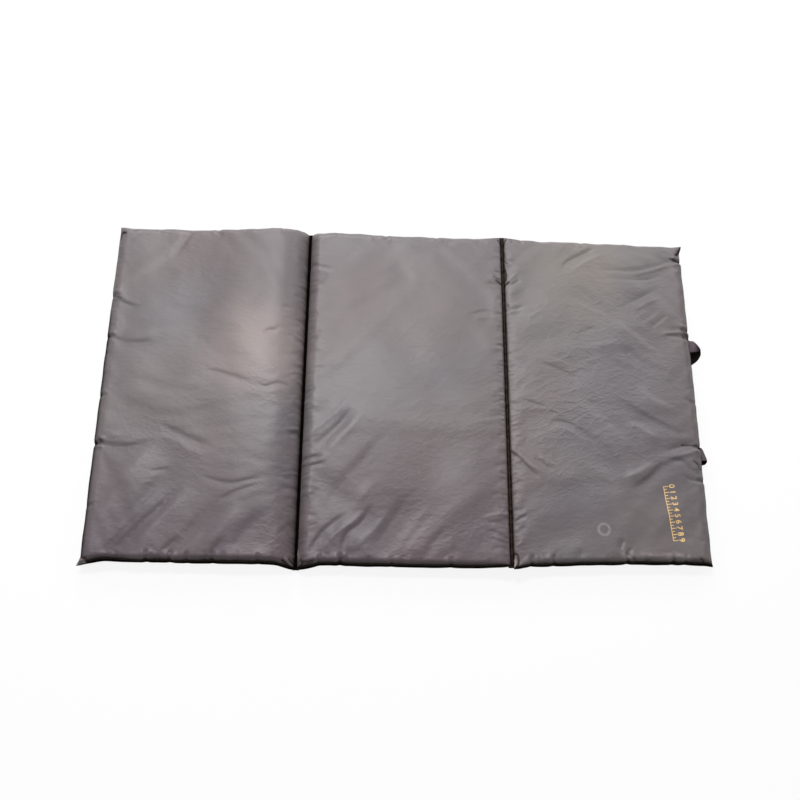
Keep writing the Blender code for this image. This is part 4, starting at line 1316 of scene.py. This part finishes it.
def foam_finish(colours):
    """Open-cell foam, with its small cells on the cut faces and painted shade in their hollows."""
    finish = Finish("pad_foam", tuple(colours.foam), 0.92)
    place = finish.place()
    cells = finish.node("ShaderNodeTexVoronoi", {}, {"Vector": place, "Scale": 1 / (2.2 * MM)}, "Distance")
    drift = finish.noise(place, 45 * MM, 3.0)
    colour = finish.blend(drift.above(0.3, 2.0), finish.tint(0.92, 0.03), finish.tint(1.05))
    finish.send("Base Color", finish.blend(cells.clamped(), finish.tint(0.72, 0.03), colour))
    finish.rough(0.86, drift, 0.1)
    finish.send("Normal", finish.bump(cells, 0.5 * MM, 0.7))
    return finish.material


def ink_finish(colours):
    """Screen-printed ink, a little cracked over the weave."""
    finish = Finish("printed_ink", tuple(colours.ink), 0.5)
    place = finish.place()
    wear = finish.noise(place, 2.2 * MM, 3.0, 0.65)
    tone = finish.noise(place, 14 * MM, 2.0)
    colour = finish.blend(tone.above(0.35, 2.2), finish.tint(0.92, 0.10), finish.tint(1.12))
    finish.send("Base Color", finish.blend(wear.above(0.60, 3.0), colour, finish.tint(0.45)))
    finish.rough(0.46, wear, 0.2)
    finish.send("Normal", finish.bump(wear, 0.06 * MM, 0.6))
    return finish.material


def floor_finish(colours):
    """A plain pale floor that keeps the object's shadow and shows near white to the camera."""
    finish = Finish("studio_floor", tuple(colours.floor), 0.9)
    finish.fix(Specular_IOR_Level=0.0)
    rays = finish.tree.nodes.new("ShaderNodeLightPath")
    seen, glossy = (Value(finish, rays.outputs[f"Is {kind} Ray"]) for kind in ("Camera", "Glossy"))
    seen = seen.maths("MAXIMUM", seen, glossy)
    glow = finish.tree.nodes.new("ShaderNodeEmission")
    glow.inputs["Color"].default_value = (1, 1, 1, 1)
    glow.inputs["Strength"].default_value = FLOOR_GLOW
    finish.give_way(seen * FLOOR_GLOW_SHARE, glow)
    return finish.material


def cover_piece(pocket, settings, materials):
    """One panel's padded cover, closed all round, with its folds and gathers."""
    top, under, lift, shade = cover_faces(pocket, settings)
    points, quads = closed_net(top, under)
    obj = mesh_piece(pocket.name + "_cover", points, quads, materials)
    inner = (slice(1, -1), slice(1, -1))
    below = np.zeros(under[inner].shape[0] * under[inner].shape[1])
    point_values(obj, "fold", np.concatenate([lift.reshape(-1) / MM, below]))
    point_values(obj, "shade", np.concatenate([shade.reshape(-1), below]))
    return obj


def foam_piece(pocket, material):
    """The foam inside one pocket: the cover's smooth form, set in by the room that its folds need."""
    columns, rows = pocket.sewn_lines(*FOAM_LINES)
    x, y = np.meshgrid(columns, rows, indexing="ij")
    scale = 1 - FOAM_INSET / pocket.half
    top, under = pocket.points(x, y, "top"), pocket.points(x, y, "under")
    room = top[..., 2] - under[..., 2]
    top[..., 2] -= np.minimum(FOAM_INSET, room * FOAM_RIM_SHARES[0])
    under[..., 2] += np.minimum(FOAM_UNDER_INSET, room * FOAM_RIM_SHARES[1])
    for face in (top, under):
        face[..., 0] = pocket.middle + (face[..., 0] - pocket.middle) * scale
        face[..., 1] *= 1 - FOAM_INSET / HALF_DEPTH
    points, quads = closed_net(top, under)
    return mesh_piece(pocket.name + "_foam", points, quads, [material])


def hinge_piece(name, web, seed, material):
    """The strip of doubled cloth between two pockets, drawn up a little by its two rows of stitches."""
    low, high = web
    middle, half = (low.x + high.x) / 2, (high.x - low.x) / 2
    height = (low.z + high.z) / 2
    place = "low" if height < HANDLE_PIVOT.z else "high"
    front, back = HINGE_TAILS[place]
    columns = middle + np.linspace(-1, 1, HINGE_COLUMNS) * (half + HINGE_OVERLAP)
    rows = np.linspace(-HALF_DEPTH - front, HALF_DEPTH + back, int(2 * HALF_DEPTH / HINGE_STEP))
    x, y = np.meshgrid(columns, rows, indexing="ij")
    rng = np.random.default_rng(seed)
    off = np.abs(x - middle)
    puff = smooth(1 - off / (half - STITCH_ROW_INSET))
    ripple = np.zeros(x.shape)
    for _ in range(HINGE_RIPPLES):
        lean = (x - middle) * rng.uniform(-HINGE_LEAN, HINGE_LEAN)
        turn = 2 * math.pi / rng.uniform(*HINGE_RIPPLE_LENGTH)
        ripple += np.sin(y * turn + rng.uniform(0, 2 * math.pi) + lean)
    rise = puff * HINGE_PUFF * (1 + HINGE_PUFF_RIPPLE * ripple)
    beyond = smooth((-y - HALF_DEPTH + HINGE_DROP_REACH) / (HINGE_DROP_REACH + front))
    rise = rise - beyond * HINGE_DROPS[place]
    rounded = np.sqrt(np.clip(1 - (off / (half + HINGE_OVERLAP)) ** HINGE_EDGE_POWER, 0, 1))
    ends = np.minimum(y - rows[0], rows[-1] - y)
    rounded *= np.sqrt(1 - np.clip(1 - ends / HINGE_THICKNESS, 0, 1) ** 2)
    top = np.stack([x, y, height + HINGE_THICKNESS / 2 * rounded + rise], axis=-1)
    under = np.stack([x, y, height - HINGE_THICKNESS / 2 * rounded + rise * HINGE_UNDER_RISE], axis=-1)
    under[..., 2] = np.minimum(under[..., 2], top[..., 2] - HINGE_THICKNESS * rounded)
    points, quads = closed_net(top, under)
    obj = mesh_piece(name, points, quads, [material])
    # Painted shade: the low web dark but for a lit rim on its right, the high one dark along its two edges
    if place == "low":
        shade = 1 - HINGE_LIT_SHARE * smooth((x - middle) / HINGE_RIM - 1)
    else:
        dark = smooth((off - HINGE_LINE + ripple * HINGE_LINE * HINGE_LINE_RIPPLE) / HINGE_RIM)
        shade = HINGE_LINE_SHADE + (1 - HINGE_LINE_SHADE) * dark
    inner = (slice(1, -1), slice(1, -1))
    point_values(obj, "shade", np.concatenate([shade.reshape(-1), shade[inner].reshape(-1)]))
    return obj


def one_stitch():
    """A single lockstitch lying along X: thread that rises from one hole and dips into the next."""
    bpy.ops.object.select_all(action="DESELECT")
    bpy.ops.mesh.primitive_cylinder_add(
        vertices=STITCH_SIDES, radius=THREAD_RADIUS, depth=STITCH_LENGTH,
        location=(0, 0, 0), rotation=(0, math.pi / 2, 0),
    )
    obj = bpy.context.object
    bpy.ops.object.transform_apply(location=True, rotation=True, scale=True)
    bpy.ops.object.mode_set(mode="EDIT")
    bpy.ops.mesh.select_mode(type="EDGE")
    bpy.ops.mesh.select_all(action="DESELECT")
    bpy.ops.object.mode_set(mode="OBJECT")
    for edge in obj.data.edges:
        a, b = (obj.data.vertices[k].co for k in edge.vertices)
        edge.select = abs(a.x - b.x) > STITCH_LENGTH / 2
    bpy.ops.object.mode_set(mode="EDIT")
    bpy.ops.mesh.subdivide(number_cuts=STITCH_CUTS)
    bpy.ops.mesh.select_mode(type="VERT")
    for sign in (-1, 1):
        bpy.ops.mesh.select_all(action="DESELECT")
        bpy.ops.object.mode_set(mode="OBJECT")
        for vertex in obj.data.vertices:
            vertex.select = vertex.co.x * sign > STITCH_END_SHARE * STITCH_LENGTH
        bpy.ops.object.mode_set(mode="EDIT")
        bpy.ops.transform.resize(value=(1, STITCH_END_SIZE, STITCH_END_SIZE))
        pull, dip = -sign * STITCH_END_PULL * STITCH_LENGTH, -STITCH_END_DIP * THREAD_RADIUS
        bpy.ops.transform.translate(value=(pull, 0, dip))
    bpy.ops.object.mode_set(mode="OBJECT")
    points = np.array([vertex.co for vertex in obj.data.vertices])
    faces = [tuple(face.vertices) for face in obj.data.polygons]
    bpy.data.objects.remove(obj, do_unlink=True)
    return points, faces


def reading(line, travel, at):
    """The point of a line that lies that far along it."""
    return np.array([np.interp(at, travel, line[:, axis]) for axis in range(3)])


def stitch_row(name, route, ups, material, seed):
    """Stitches laid end to end along a route, each turned to lie on its surface."""
    shape, faces = one_stitch()
    rng = np.random.default_rng(seed)
    points, polygons = [], []
    for line, up_line in zip(route, ups):
        steps = np.linalg.norm(np.diff(line, axis=0), axis=1)
        travel = np.concatenate([[0], np.cumsum(steps)])
        count = int(travel[-1] / STITCH_PITCH)
        for k in range(count):
            at = (k + 0.5) / count * travel[-1]
            ends = [reading(line, travel, at + half) for half in (-0.5 * STITCH_PITCH, 0.5 * STITCH_PITCH)]
            along = (ends[1] - ends[0]) / np.linalg.norm(ends[1] - ends[0])
            up = reading(up_line, travel, at)
            across = np.cross(up, along)
            across /= np.linalg.norm(across)
            up = np.cross(along, across)
            turn = rng.uniform(-STITCH_JITTER, STITCH_JITTER)
            c, s = math.cos(turn), math.sin(turn)
            along, across = along * c + across * s, across * c - along * s
            middle = (ends[0] + ends[1]) / 2 + up * THREAD_RADIUS * STITCH_SINK
            base = len(points) * len(shape)
            points.append(middle + shape @ np.array([along, across, up]))
            polygons += [tuple(v + base for v in face) for face in faces]
    mesh = bpy.data.meshes.new(name)
    mesh.from_pydata(np.concatenate(points).tolist(), [], polygons)
    mesh.materials.append(material)
    mesh.shade_smooth()
    return linked(name, mesh)


def webbing_edge(place, end_y, reach):
    """A point of the webbing's edge from its shares."""
    out, along, up = place
    side = out * (reach - HANDLE_THICKNESS / 2) if out > 0 else out * HANDLE_TUCK
    height = HANDLE_REST_Z + up * (EDGE_SEAM_Z - HANDLE_REST_Z)
    return np.array([HANDLE_EDGE_X + side, end_y + along * HANDLE_WIDTH, height])


def handle_rulings():
    """Pairs of edge points along the webbing, from its back end round to its front end."""
    half = HANDLE_WIDTH / 2
    pairs = []
    for end_y, reach, turns in (
        (HANDLE_SPAN / 2, HANDLE_REACH, BACK_TURN_SHARES),
        (-HANDLE_SPAN / 2, HANDLE_FRONT_REACH, FRONT_TURN_SHARES),
    ):
        pairs += [tuple(webbing_edge(edge, end_y, reach) for edge in edges) for edges in turns]
    back = tuple(np.array([HANDLE_PIVOT.x, HANDLE_SPAN / 2 + side, EDGE_SEAM_Z]) for side in (half, -half))
    front = tuple(np.array([HANDLE_PIVOT.x, -HANDLE_SPAN / 2 + side, EDGE_SEAM_Z]) for side in (-half, half))
    return [back] + pairs + [front]


def handle_piece(material):
    """Flat webbing with soft rounded edges, lofted through its rulings."""
    pairs = handle_rulings()
    first = curved_path([pair[0] for pair in pairs], TURN_STEPS)
    second = curved_path([pair[1] for pair in pairs], TURN_STEPS)
    middle = (first + second) / 2
    travel = np.gradient(middle, axis=0)
    travel /= np.linalg.norm(travel, axis=1, keepdims=True)
    across = second - first
    normal = np.cross(travel, across)
    normal /= np.linalg.norm(normal, axis=1, keepdims=True)
    run = np.concatenate([[0], np.cumsum(np.linalg.norm(np.diff(middle, axis=0), axis=1))])
    shares = np.linspace(0, 1, WEBBING_ACROSS)
    profile = [(share, 1) for share in shares] + [(share, -1) for share in shares[::-1]]
    points, strap = [], []
    for k in range(len(first)):
        ends = min(k, len(first) - 1 - k) / WEBBING_ROUND_STEPS
        full = math.sqrt(1 - max(1 - ends, 0) ** 2) if ends < 1 else 1.0
        for share, side in profile:
            edge = math.sqrt(max(1 - (2 * share - 1) ** WEBBING_EDGE_POWER, 0))
            edge = WEBBING_EDGE_SHARE + (1 - WEBBING_EDGE_SHARE) * edge
            lift = HANDLE_THICKNESS / 2 * side * edge * max(full, WEBBING_END_SHARE)
            points.append(first[k] + across[k] * share + normal[k] * lift)
            strap.append((run[k], share * HANDLE_WIDTH, -side * 0.5 * MM))
    ring = len(profile)
    quads = []
    for k in range(len(first) - 1):
        for side in range(ring):
            after = (side + 1) % ring
            quads.append((k * ring + side, k * ring + after, (k + 1) * ring + after, (k + 1) * ring + side))
    last = (len(first) - 1) * ring
    for start in (0, last):
        for j in range(WEBBING_ACROSS - 1):
            quad = (start + j, start + j + 1, start + ring - 2 - j, start + ring - 1 - j)
            quads.append(quad[::-1] if start == 0 else quad)
    obj = mesh_piece("webbing_handle", np.array(points), np.array(quads), [material], WEBBING_SHARP)
    attribute = obj.data.attributes.new("strap", "FLOAT_VECTOR", "POINT")
    attribute.data.foreach_set("vector", np.array(strap, np.float32).reshape(-1))
    recalculate(obj)
    return obj


def recalculate(obj):
    """Turns every face of a closed piece outwards."""
    bpy.ops.object.select_all(action="DESELECT")
    obj.select_set(True)
    bpy.context.view_layer.objects.active = obj
    bpy.ops.object.mode_set(mode="EDIT")
    bpy.ops.mesh.select_all(action="SELECT")
    bpy.ops.mesh.normals_make_consistent(inside=False)
    bpy.ops.object.mode_set(mode="OBJECT")


class CoverSurface:
    """The height of a finished cover's top face over its plan."""

    def __init__(self, pocket, settings):
        self.columns, self.rows = pocket.columns(), pocket.rows()
        self.points = cover_faces(pocket, settings)[0]
        self.normals = grid_normals(self.points)

    def read(self, grid, x, y):
        i = np.clip(np.searchsorted(self.columns, x) - 1, 0, len(self.columns) - 2)
        j = np.clip(np.searchsorted(self.rows, y) - 1, 0, len(self.rows) - 2)
        s = np.clip((x - self.columns[i]) / (self.columns[i + 1] - self.columns[i]), 0, 1)[..., None]
        t = np.clip((y - self.rows[j]) / (self.rows[j + 1] - self.rows[j]), 0, 1)[..., None]
        front = grid[i, j] * (1 - s) + grid[i + 1, j] * s
        back = grid[i, j + 1] * (1 - s) + grid[i + 1, j + 1] * s
        return front * (1 - t) + back * t

    def point(self, x, y):
        return self.read(self.points, np.asarray(x, float), np.asarray(y, float))

    def over(self, x, y):
        """Height of the cloth over places of the real plan, each found by sliding over the net."""
        x, y = np.asarray(x, float), np.asarray(y, float)
        at_x, at_y = x.copy(), y.copy()
        for _ in range(RULE_SEARCH):
            found = self.point(at_x, at_y)
            at_x, at_y = at_x + x - found[:, 0], at_y + y - found[:, 1]
        return self.point(at_x, at_y)[:, 2]

    def normal(self, x, y):
        return self.read(self.normals, np.asarray(x, float), np.asarray(y, float))


def rule_bar(length, width):
    """A flat bar of ink with softened edges, standing on its lower end at the origin."""
    bpy.ops.object.select_all(action="DESELECT")
    bpy.ops.mesh.primitive_plane_add(size=1, location=(0, 0, 0))
    obj = bpy.context.object
    obj.scale = (width, length, 1)
    obj.location = (0, length / 2, 0)
    bpy.ops.object.transform_apply(location=True, rotation=True, scale=True)
    bpy.ops.object.mode_set(mode="EDIT")
    bpy.ops.mesh.select_all(action="SELECT")
    bpy.ops.mesh.subdivide(number_cuts=max(int(length / RULE_CUT), 1))
    bpy.ops.mesh.extrude_region_move(TRANSFORM_OT_translate={"value": (0, 0, RULE_FILM)})
    bpy.ops.mesh.select_all(action="SELECT")
    bpy.ops.mesh.normals_make_consistent(inside=False)
    bpy.ops.object.mode_set(mode="OBJECT")
    return obj


def rule_digit(number):
    """One raised numeral, centred over its tick."""
    bpy.ops.object.select_all(action="DESELECT")
    bpy.ops.object.text_add(location=(0, 0, 0))
    obj = bpy.context.object
    obj.data.body = str(number)
    obj.data.align_x = "CENTER"
    obj.data.size = RULE_DIGIT * RULE_TYPE_SHARE
    obj.data.extrude = RULE_FILM / 2
    obj.data.offset = RULE_BOLD
    bpy.ops.object.convert(target="MESH")
    obj = bpy.context.object
    obj.data.transform(Matrix.Translation((0, 0, RULE_FILM / 2)))
    return obj


def printed_rule(surface, material):
    """A plain measuring rule with numbered ticks, printed near the front right corner."""
    marks = []
    step = RULE_LENGTH / RULE_DIVISIONS
    base = rule_bar(RULE_LENGTH + RULE_LINE, RULE_LINE)
    base.data.transform(Matrix.Rotation(-math.pi / 2, 4, "Z"))
    base.data.transform(Matrix.Translation((-RULE_LINE / 2, 0, 0)))
    marks.append(base)
    for k in range(RULE_DIVISIONS + 1):
        tick = rule_bar(RULE_TICKS[1 - k % 2], RULE_LINE)
        tick.data.transform(Matrix.Translation((k * step, RULE_LINE * RULE_TICK_SHIFT, 0)))
        marks.append(tick)
        if k % 2 == 0:
            digit = rule_digit(k // 2)
            digit.data.transform(Matrix.Translation((k * step, RULE_TICKS[1] + RULE_DIGIT_GAP, 0)))
            marks.append(digit)
    bpy.ops.object.select_all(action="DESELECT")
    for mark in marks:
        mark.select_set(True)
    bpy.context.view_layer.objects.active = base
    bpy.ops.object.join()
    obj = bpy.context.object
    obj.name = obj.data.name = "printed_rule"
    turn = Matrix.Translation((*RULE_START, 0)) @ Matrix.Rotation(-math.pi / 2 + RULE_SLANT, 4, "Z")
    obj.data.transform(turn)
    obj.matrix_world = Matrix.Identity(4)
    places = np.array([vertex.co for vertex in obj.data.vertices])
    ground = surface.over(places[:, 0], places[:, 1])
    places[:, 2] += ground + RULE_LIFT
    obj.data.vertices.foreach_set("co", places.astype(np.float32).reshape(-1))
    obj.data.update()
    obj.data.materials.clear()
    obj.data.materials.append(material)
    return obj


def area_light(name, place, target, size, power):
    """A round white lamp turned to its target."""
    data = bpy.data.lights.new(name, "AREA")
    data.shape, data.size, data.energy = "DISK", size, power
    light = linked(name, data)
    light.location = place
    light.rotation_euler = (Vector(target) - Vector(place)).to_track_quat("-Z", "Y").to_euler()


def studio_camera():
    """The camera, from its place, its turn to the left, its tilt down and its roll."""
    forward = Vector((
        -math.sin(CAMERA_YAW) * math.cos(CAMERA_PITCH),
        math.cos(CAMERA_YAW) * math.cos(CAMERA_PITCH),
        -math.sin(CAMERA_PITCH),
    ))
    level = Vector((math.cos(CAMERA_YAW), math.sin(CAMERA_YAW), 0))
    upright = level.cross(forward)
    right = level * math.cos(CAMERA_ROLL) + upright * math.sin(CAMERA_ROLL)
    up = upright * math.cos(CAMERA_ROLL) - level * math.sin(CAMERA_ROLL)
    turn = Matrix((right, up, -forward)).transposed().to_4x4()
    data = bpy.data.cameras.new("camera")
    data.lens, data.sensor_width, data.clip_end = CAMERA_LENS, CAMERA_SENSOR, CAMERA_END
    camera = linked("camera", data)
    camera.matrix_world = Matrix.Translation(CAMERA_PLACE) @ turn
    bpy.context.scene.camera = camera


class MatCoverSettings(bpy.types.PropertyGroup):
    fold_scale: FloatProperty(
        name="Fold scale", description="Height of the drag folds, as a share of the tables' own",
        default=1.2, min=0.0, max=3.0, subtype="FACTOR",
    )
    gather_scale: FloatProperty(
        name="Gather scale", description="Height of the short gathers beside the stitches",
        default=1.0, min=0.0, max=3.0, subtype="FACTOR",
    )
    cloth_share: FloatProperty(
        name="Cloth share", description="How much of the simulated movement is kept",
        default=0.16, min=0.0, max=1.0, subtype="FACTOR",
    )
    fill: FloatProperty(
        name="Fill", description="How tightly the foam fills its pocket",
        default=0.85, min=0.0, max=1.0, subtype="FACTOR",
    )


class MatColours(bpy.types.PropertyGroup):
    nylon: FloatVectorProperty(
        name="Nylon", description="Coated cloth of the top face", subtype="COLOR",
        default=(0.167, 0.145, 0.152),
    )
    underside: FloatVectorProperty(
        name="Underside", description="Darker cloth of the base", subtype="COLOR",
        default=(0.060, 0.054, 0.057),
    )
    hinge: FloatVectorProperty(
        name="Hinge cloth", description="Doubled cloth between the panels", subtype="COLOR",
        default=(0.050, 0.034, 0.028),
    )
    webbing: FloatVectorProperty(
        name="Webbing", description="Carry handle", subtype="COLOR",
        default=(0.125, 0.096, 0.118),
    )
    thread: FloatVectorProperty(
        name="Thread", description="All the stitching", subtype="COLOR",
        default=(0.020, 0.014, 0.013),
    )
    foam: FloatVectorProperty(
        name="Foam", description="Pad inside each pocket", subtype="COLOR",
        default=(0.62, 0.60, 0.55),
    )
    ink: FloatVectorProperty(
        name="Ink", description="Printed measuring rule", subtype="COLOR",
        default=(0.95, 0.68, 0.30),
    )
    floor: FloatVectorProperty(
        name="Floor", description="Plain studio floor", subtype="COLOR",
        default=(0.55, 0.55, 0.55),
    )


def finish_of(make):
    """The material that a function makes, made once and shared."""
    name = make.__name__
    if name not in FINISHES:
        FINISHES[name] = make(bpy.context.scene.mat_colours)
    return FINISHES[name]


class MAT_OT_covers(bpy.types.Operator):
    """Sews the three padded covers"""

    bl_idname = "mat.covers"
    bl_label = "Covers"
    bl_options = {"REGISTER", "UNDO"}

    def execute(self, context):
        materials = [finish_of(nylon_finish), finish_of(underside_finish)]
        for name, pocket in POCKETS.items():
            obj = cover_piece(pocket, context.scene.mat_cover, materials)
            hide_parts(name + "_top_sheet", name + "_bottom_sheet")
            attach(obj, BODIES[name])
        return {"FINISHED"}


class MAT_OT_foam(bpy.types.Operator):
    """Cuts the foam that fills each cover"""

    bl_idname = "mat.foam"
    bl_label = "Foam"
    bl_options = {"REGISTER", "UNDO"}

    def execute(self, context):
        for name, pocket in POCKETS.items():
            obj = foam_piece(pocket, finish_of(foam_finish))
            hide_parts(name + "_foam_slab")
            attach(obj, BODIES[name])
        return {"FINISHED"}


class MAT_OT_hinges(bpy.types.Operator):
    """Sews the two hinge cloths, each with its two rows of stitches"""

    bl_idname = "mat.hinges"
    bl_label = "Hinges"
    bl_options = {"REGISTER", "UNDO"}

    def execute(self, context):
        cloth = dark_cloth_finish("hinge_cloth", context.scene.mat_colours.hinge, 0.6, "", 0.5 * MM)
        thread = finish_of(thread_finish)
        for name, (body, seed) in HINGES.items():
            low, high = WEBS[name]
            obj = hinge_piece(name + "_hinge_cloth", WEBS[name], seed, cloth)
            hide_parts(name + "_hinge_web")
            y = np.linspace(-HALF_DEPTH, HALF_DEPTH, HINGE_ROW_POINTS)
            level = np.full(HINGE_ROW_POINTS, (low.z + high.z) / 2 + HINGE_THICKNESS / 2)
            rows = [
                np.stack([np.full(HINGE_ROW_POINTS, x), y, level], axis=-1)
                for x in (low.x + STITCH_ROW_INSET, high.x - STITCH_ROW_INSET)
            ]
            ups = [np.tile([0.0, 0.0, 1.0], (HINGE_ROW_POINTS, 1))] * 2
            stitches = stitch_row(name + "_hinge_stitching", rows, ups, thread, seed)
            ends = [Vector((x, 0, (low.z + high.z) / 2)) for x in (low.x, high.x)]
            if body == "right_panel":
                ends.reverse()
            for piece in (obj, stitches):
                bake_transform(piece)
        return {"FINISHED"}


class MAT_OT_edge_stitching(bpy.types.Operator):
    """Topstitches the border of each panel"""

    bl_idname = "mat.edge_stitching"
    bl_label = "Edge stitching"
    bl_options = {"REGISTER", "UNDO"}

    def execute(self, context):
        thread = finish_of(thread_finish)
        for name, pocket in POCKETS.items():
            surface = CoverSurface(pocket, context.scene.mat_cover)
            routes = []
            near, far = (side.edge + side.inward * EDGE_STITCH_INSET for side in (pocket.left, pocket.right))
            end_points, side_points = EDGE_ROW_POINTS
            across = np.linspace(near, far, end_points)
            reach = HALF_DEPTH - EDGE_STITCH_INSET
            for end in (-1, 1):
                routes.append((across, np.full(end_points, end * reach)))
            along = np.linspace(-reach, reach, side_points)
            for side, x in ((pocket.left, near), (pocket.right, far)):
                if side.free:
                    routes.append((np.full(side_points, x), along))
            lines = [surface.point(x, y) for x, y in routes]
            ups = [surface.normal(x, y) for x, y in routes]
            obj = stitch_row(name + "_edge_stitching", lines, ups, thread, SEEDS[name])
            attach(obj, BODIES[name])
        return {"FINISHED"}


class MAT_OT_handle(bpy.types.Operator):
    """Folds the webbing handle"""

    bl_idname = "mat.handle"
    bl_label = "Handle"
    bl_options = {"REGISTER", "UNDO"}

    def execute(self, context):
        colour = context.scene.mat_colours.webbing
        webbing = dark_cloth_finish("handle_webbing", colour, 0.55, "strap", 0.9 * MM)
        obj = handle_piece(webbing)
        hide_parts("carry_handle")
        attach(obj, "handle")
        return {"FINISHED"}


class MAT_OT_rule(bpy.types.Operator):
    """Prints the measuring rule"""

    bl_idname = "mat.rule"
    bl_label = "Measuring rule"
    bl_options = {"REGISTER", "UNDO"}

    def execute(self, context):
        surface = CoverSurface(POCKETS["right"], context.scene.mat_cover)
        obj = printed_rule(surface, finish_of(ink_finish))
        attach(obj, "right_panel")
        return {"FINISHED"}


class MAT_OT_stage(bpy.types.Operator):
    """Sets the floor, the lights and the camera"""

    bl_idname = "mat.stage"
    bl_label = "Stage"
    bl_options = {"REGISTER", "UNDO"}

    def execute(self, context):
        bpy.ops.object.select_all(action="DESELECT")
        bpy.ops.mesh.primitive_plane_add(size=FLOOR_SIZE, location=(0, 0, 0))
        floor = context.object
        floor.name = "floor"
        floor.data.materials.append(finish_of(floor_finish))
        world = bpy.data.worlds.new("studio")
        world.use_nodes = True
        background = world.node_tree.nodes["Background"]
        background.inputs["Color"].default_value = (1.0, 1.0, 1.0, 1.0)
        background.inputs["Strength"].default_value = WORLD_STRENGTH
        context.scene.world = world
        for light in LIGHTS:
            area_light(*light)
        studio_camera()
        context.scene.view_settings.view_transform = "Standard"
        return {"FINISHED"}


OPERATORS = (
    MAT_OT_covers, MAT_OT_foam, MAT_OT_hinges, MAT_OT_edge_stitching, MAT_OT_handle, MAT_OT_rule,
    MAT_OT_stage,
)


class MAT_PT_panel(bpy.types.Panel):
    """Lists the steps of the mat"""

    bl_idname = "MAT_PT_panel"
    bl_label = "Unhooking mat"
    bl_space_type = "VIEW_3D"
    bl_region_type = "UI"
    bl_category = "Mat"

    def draw(self, context):
        for settings in (context.scene.mat_cover, context.scene.mat_colours):
            box = self.layout.box()
            for name in settings.__annotations__:
                box.prop(settings, name)
        for operator in OPERATORS:
            self.layout.operator(operator.bl_idname)


CLASSES = (MatCoverSettings, MatColours) + OPERATORS + (MAT_PT_panel,)


def register():
    for cls in CLASSES:
        bpy.utils.register_class(cls)
    bpy.types.Scene.mat_cover = PointerProperty(type=MatCoverSettings)
    bpy.types.Scene.mat_colours = PointerProperty(type=MatColours)


def unregister():
    del bpy.types.Scene.mat_colours
    del bpy.types.Scene.mat_cover
    for cls in reversed(CLASSES):
        bpy.utils.unregister_class(cls)


def main():
    register()
    bpy.ops.mat.covers()
    bpy.ops.mat.foam()
    bpy.ops.mat.hinges()
    bpy.ops.mat.edge_stitching()
    bpy.ops.mat.handle()
    bpy.ops.mat.rule()
    bpy.ops.mat.stage()


if __name__ == "__main__":
    main()
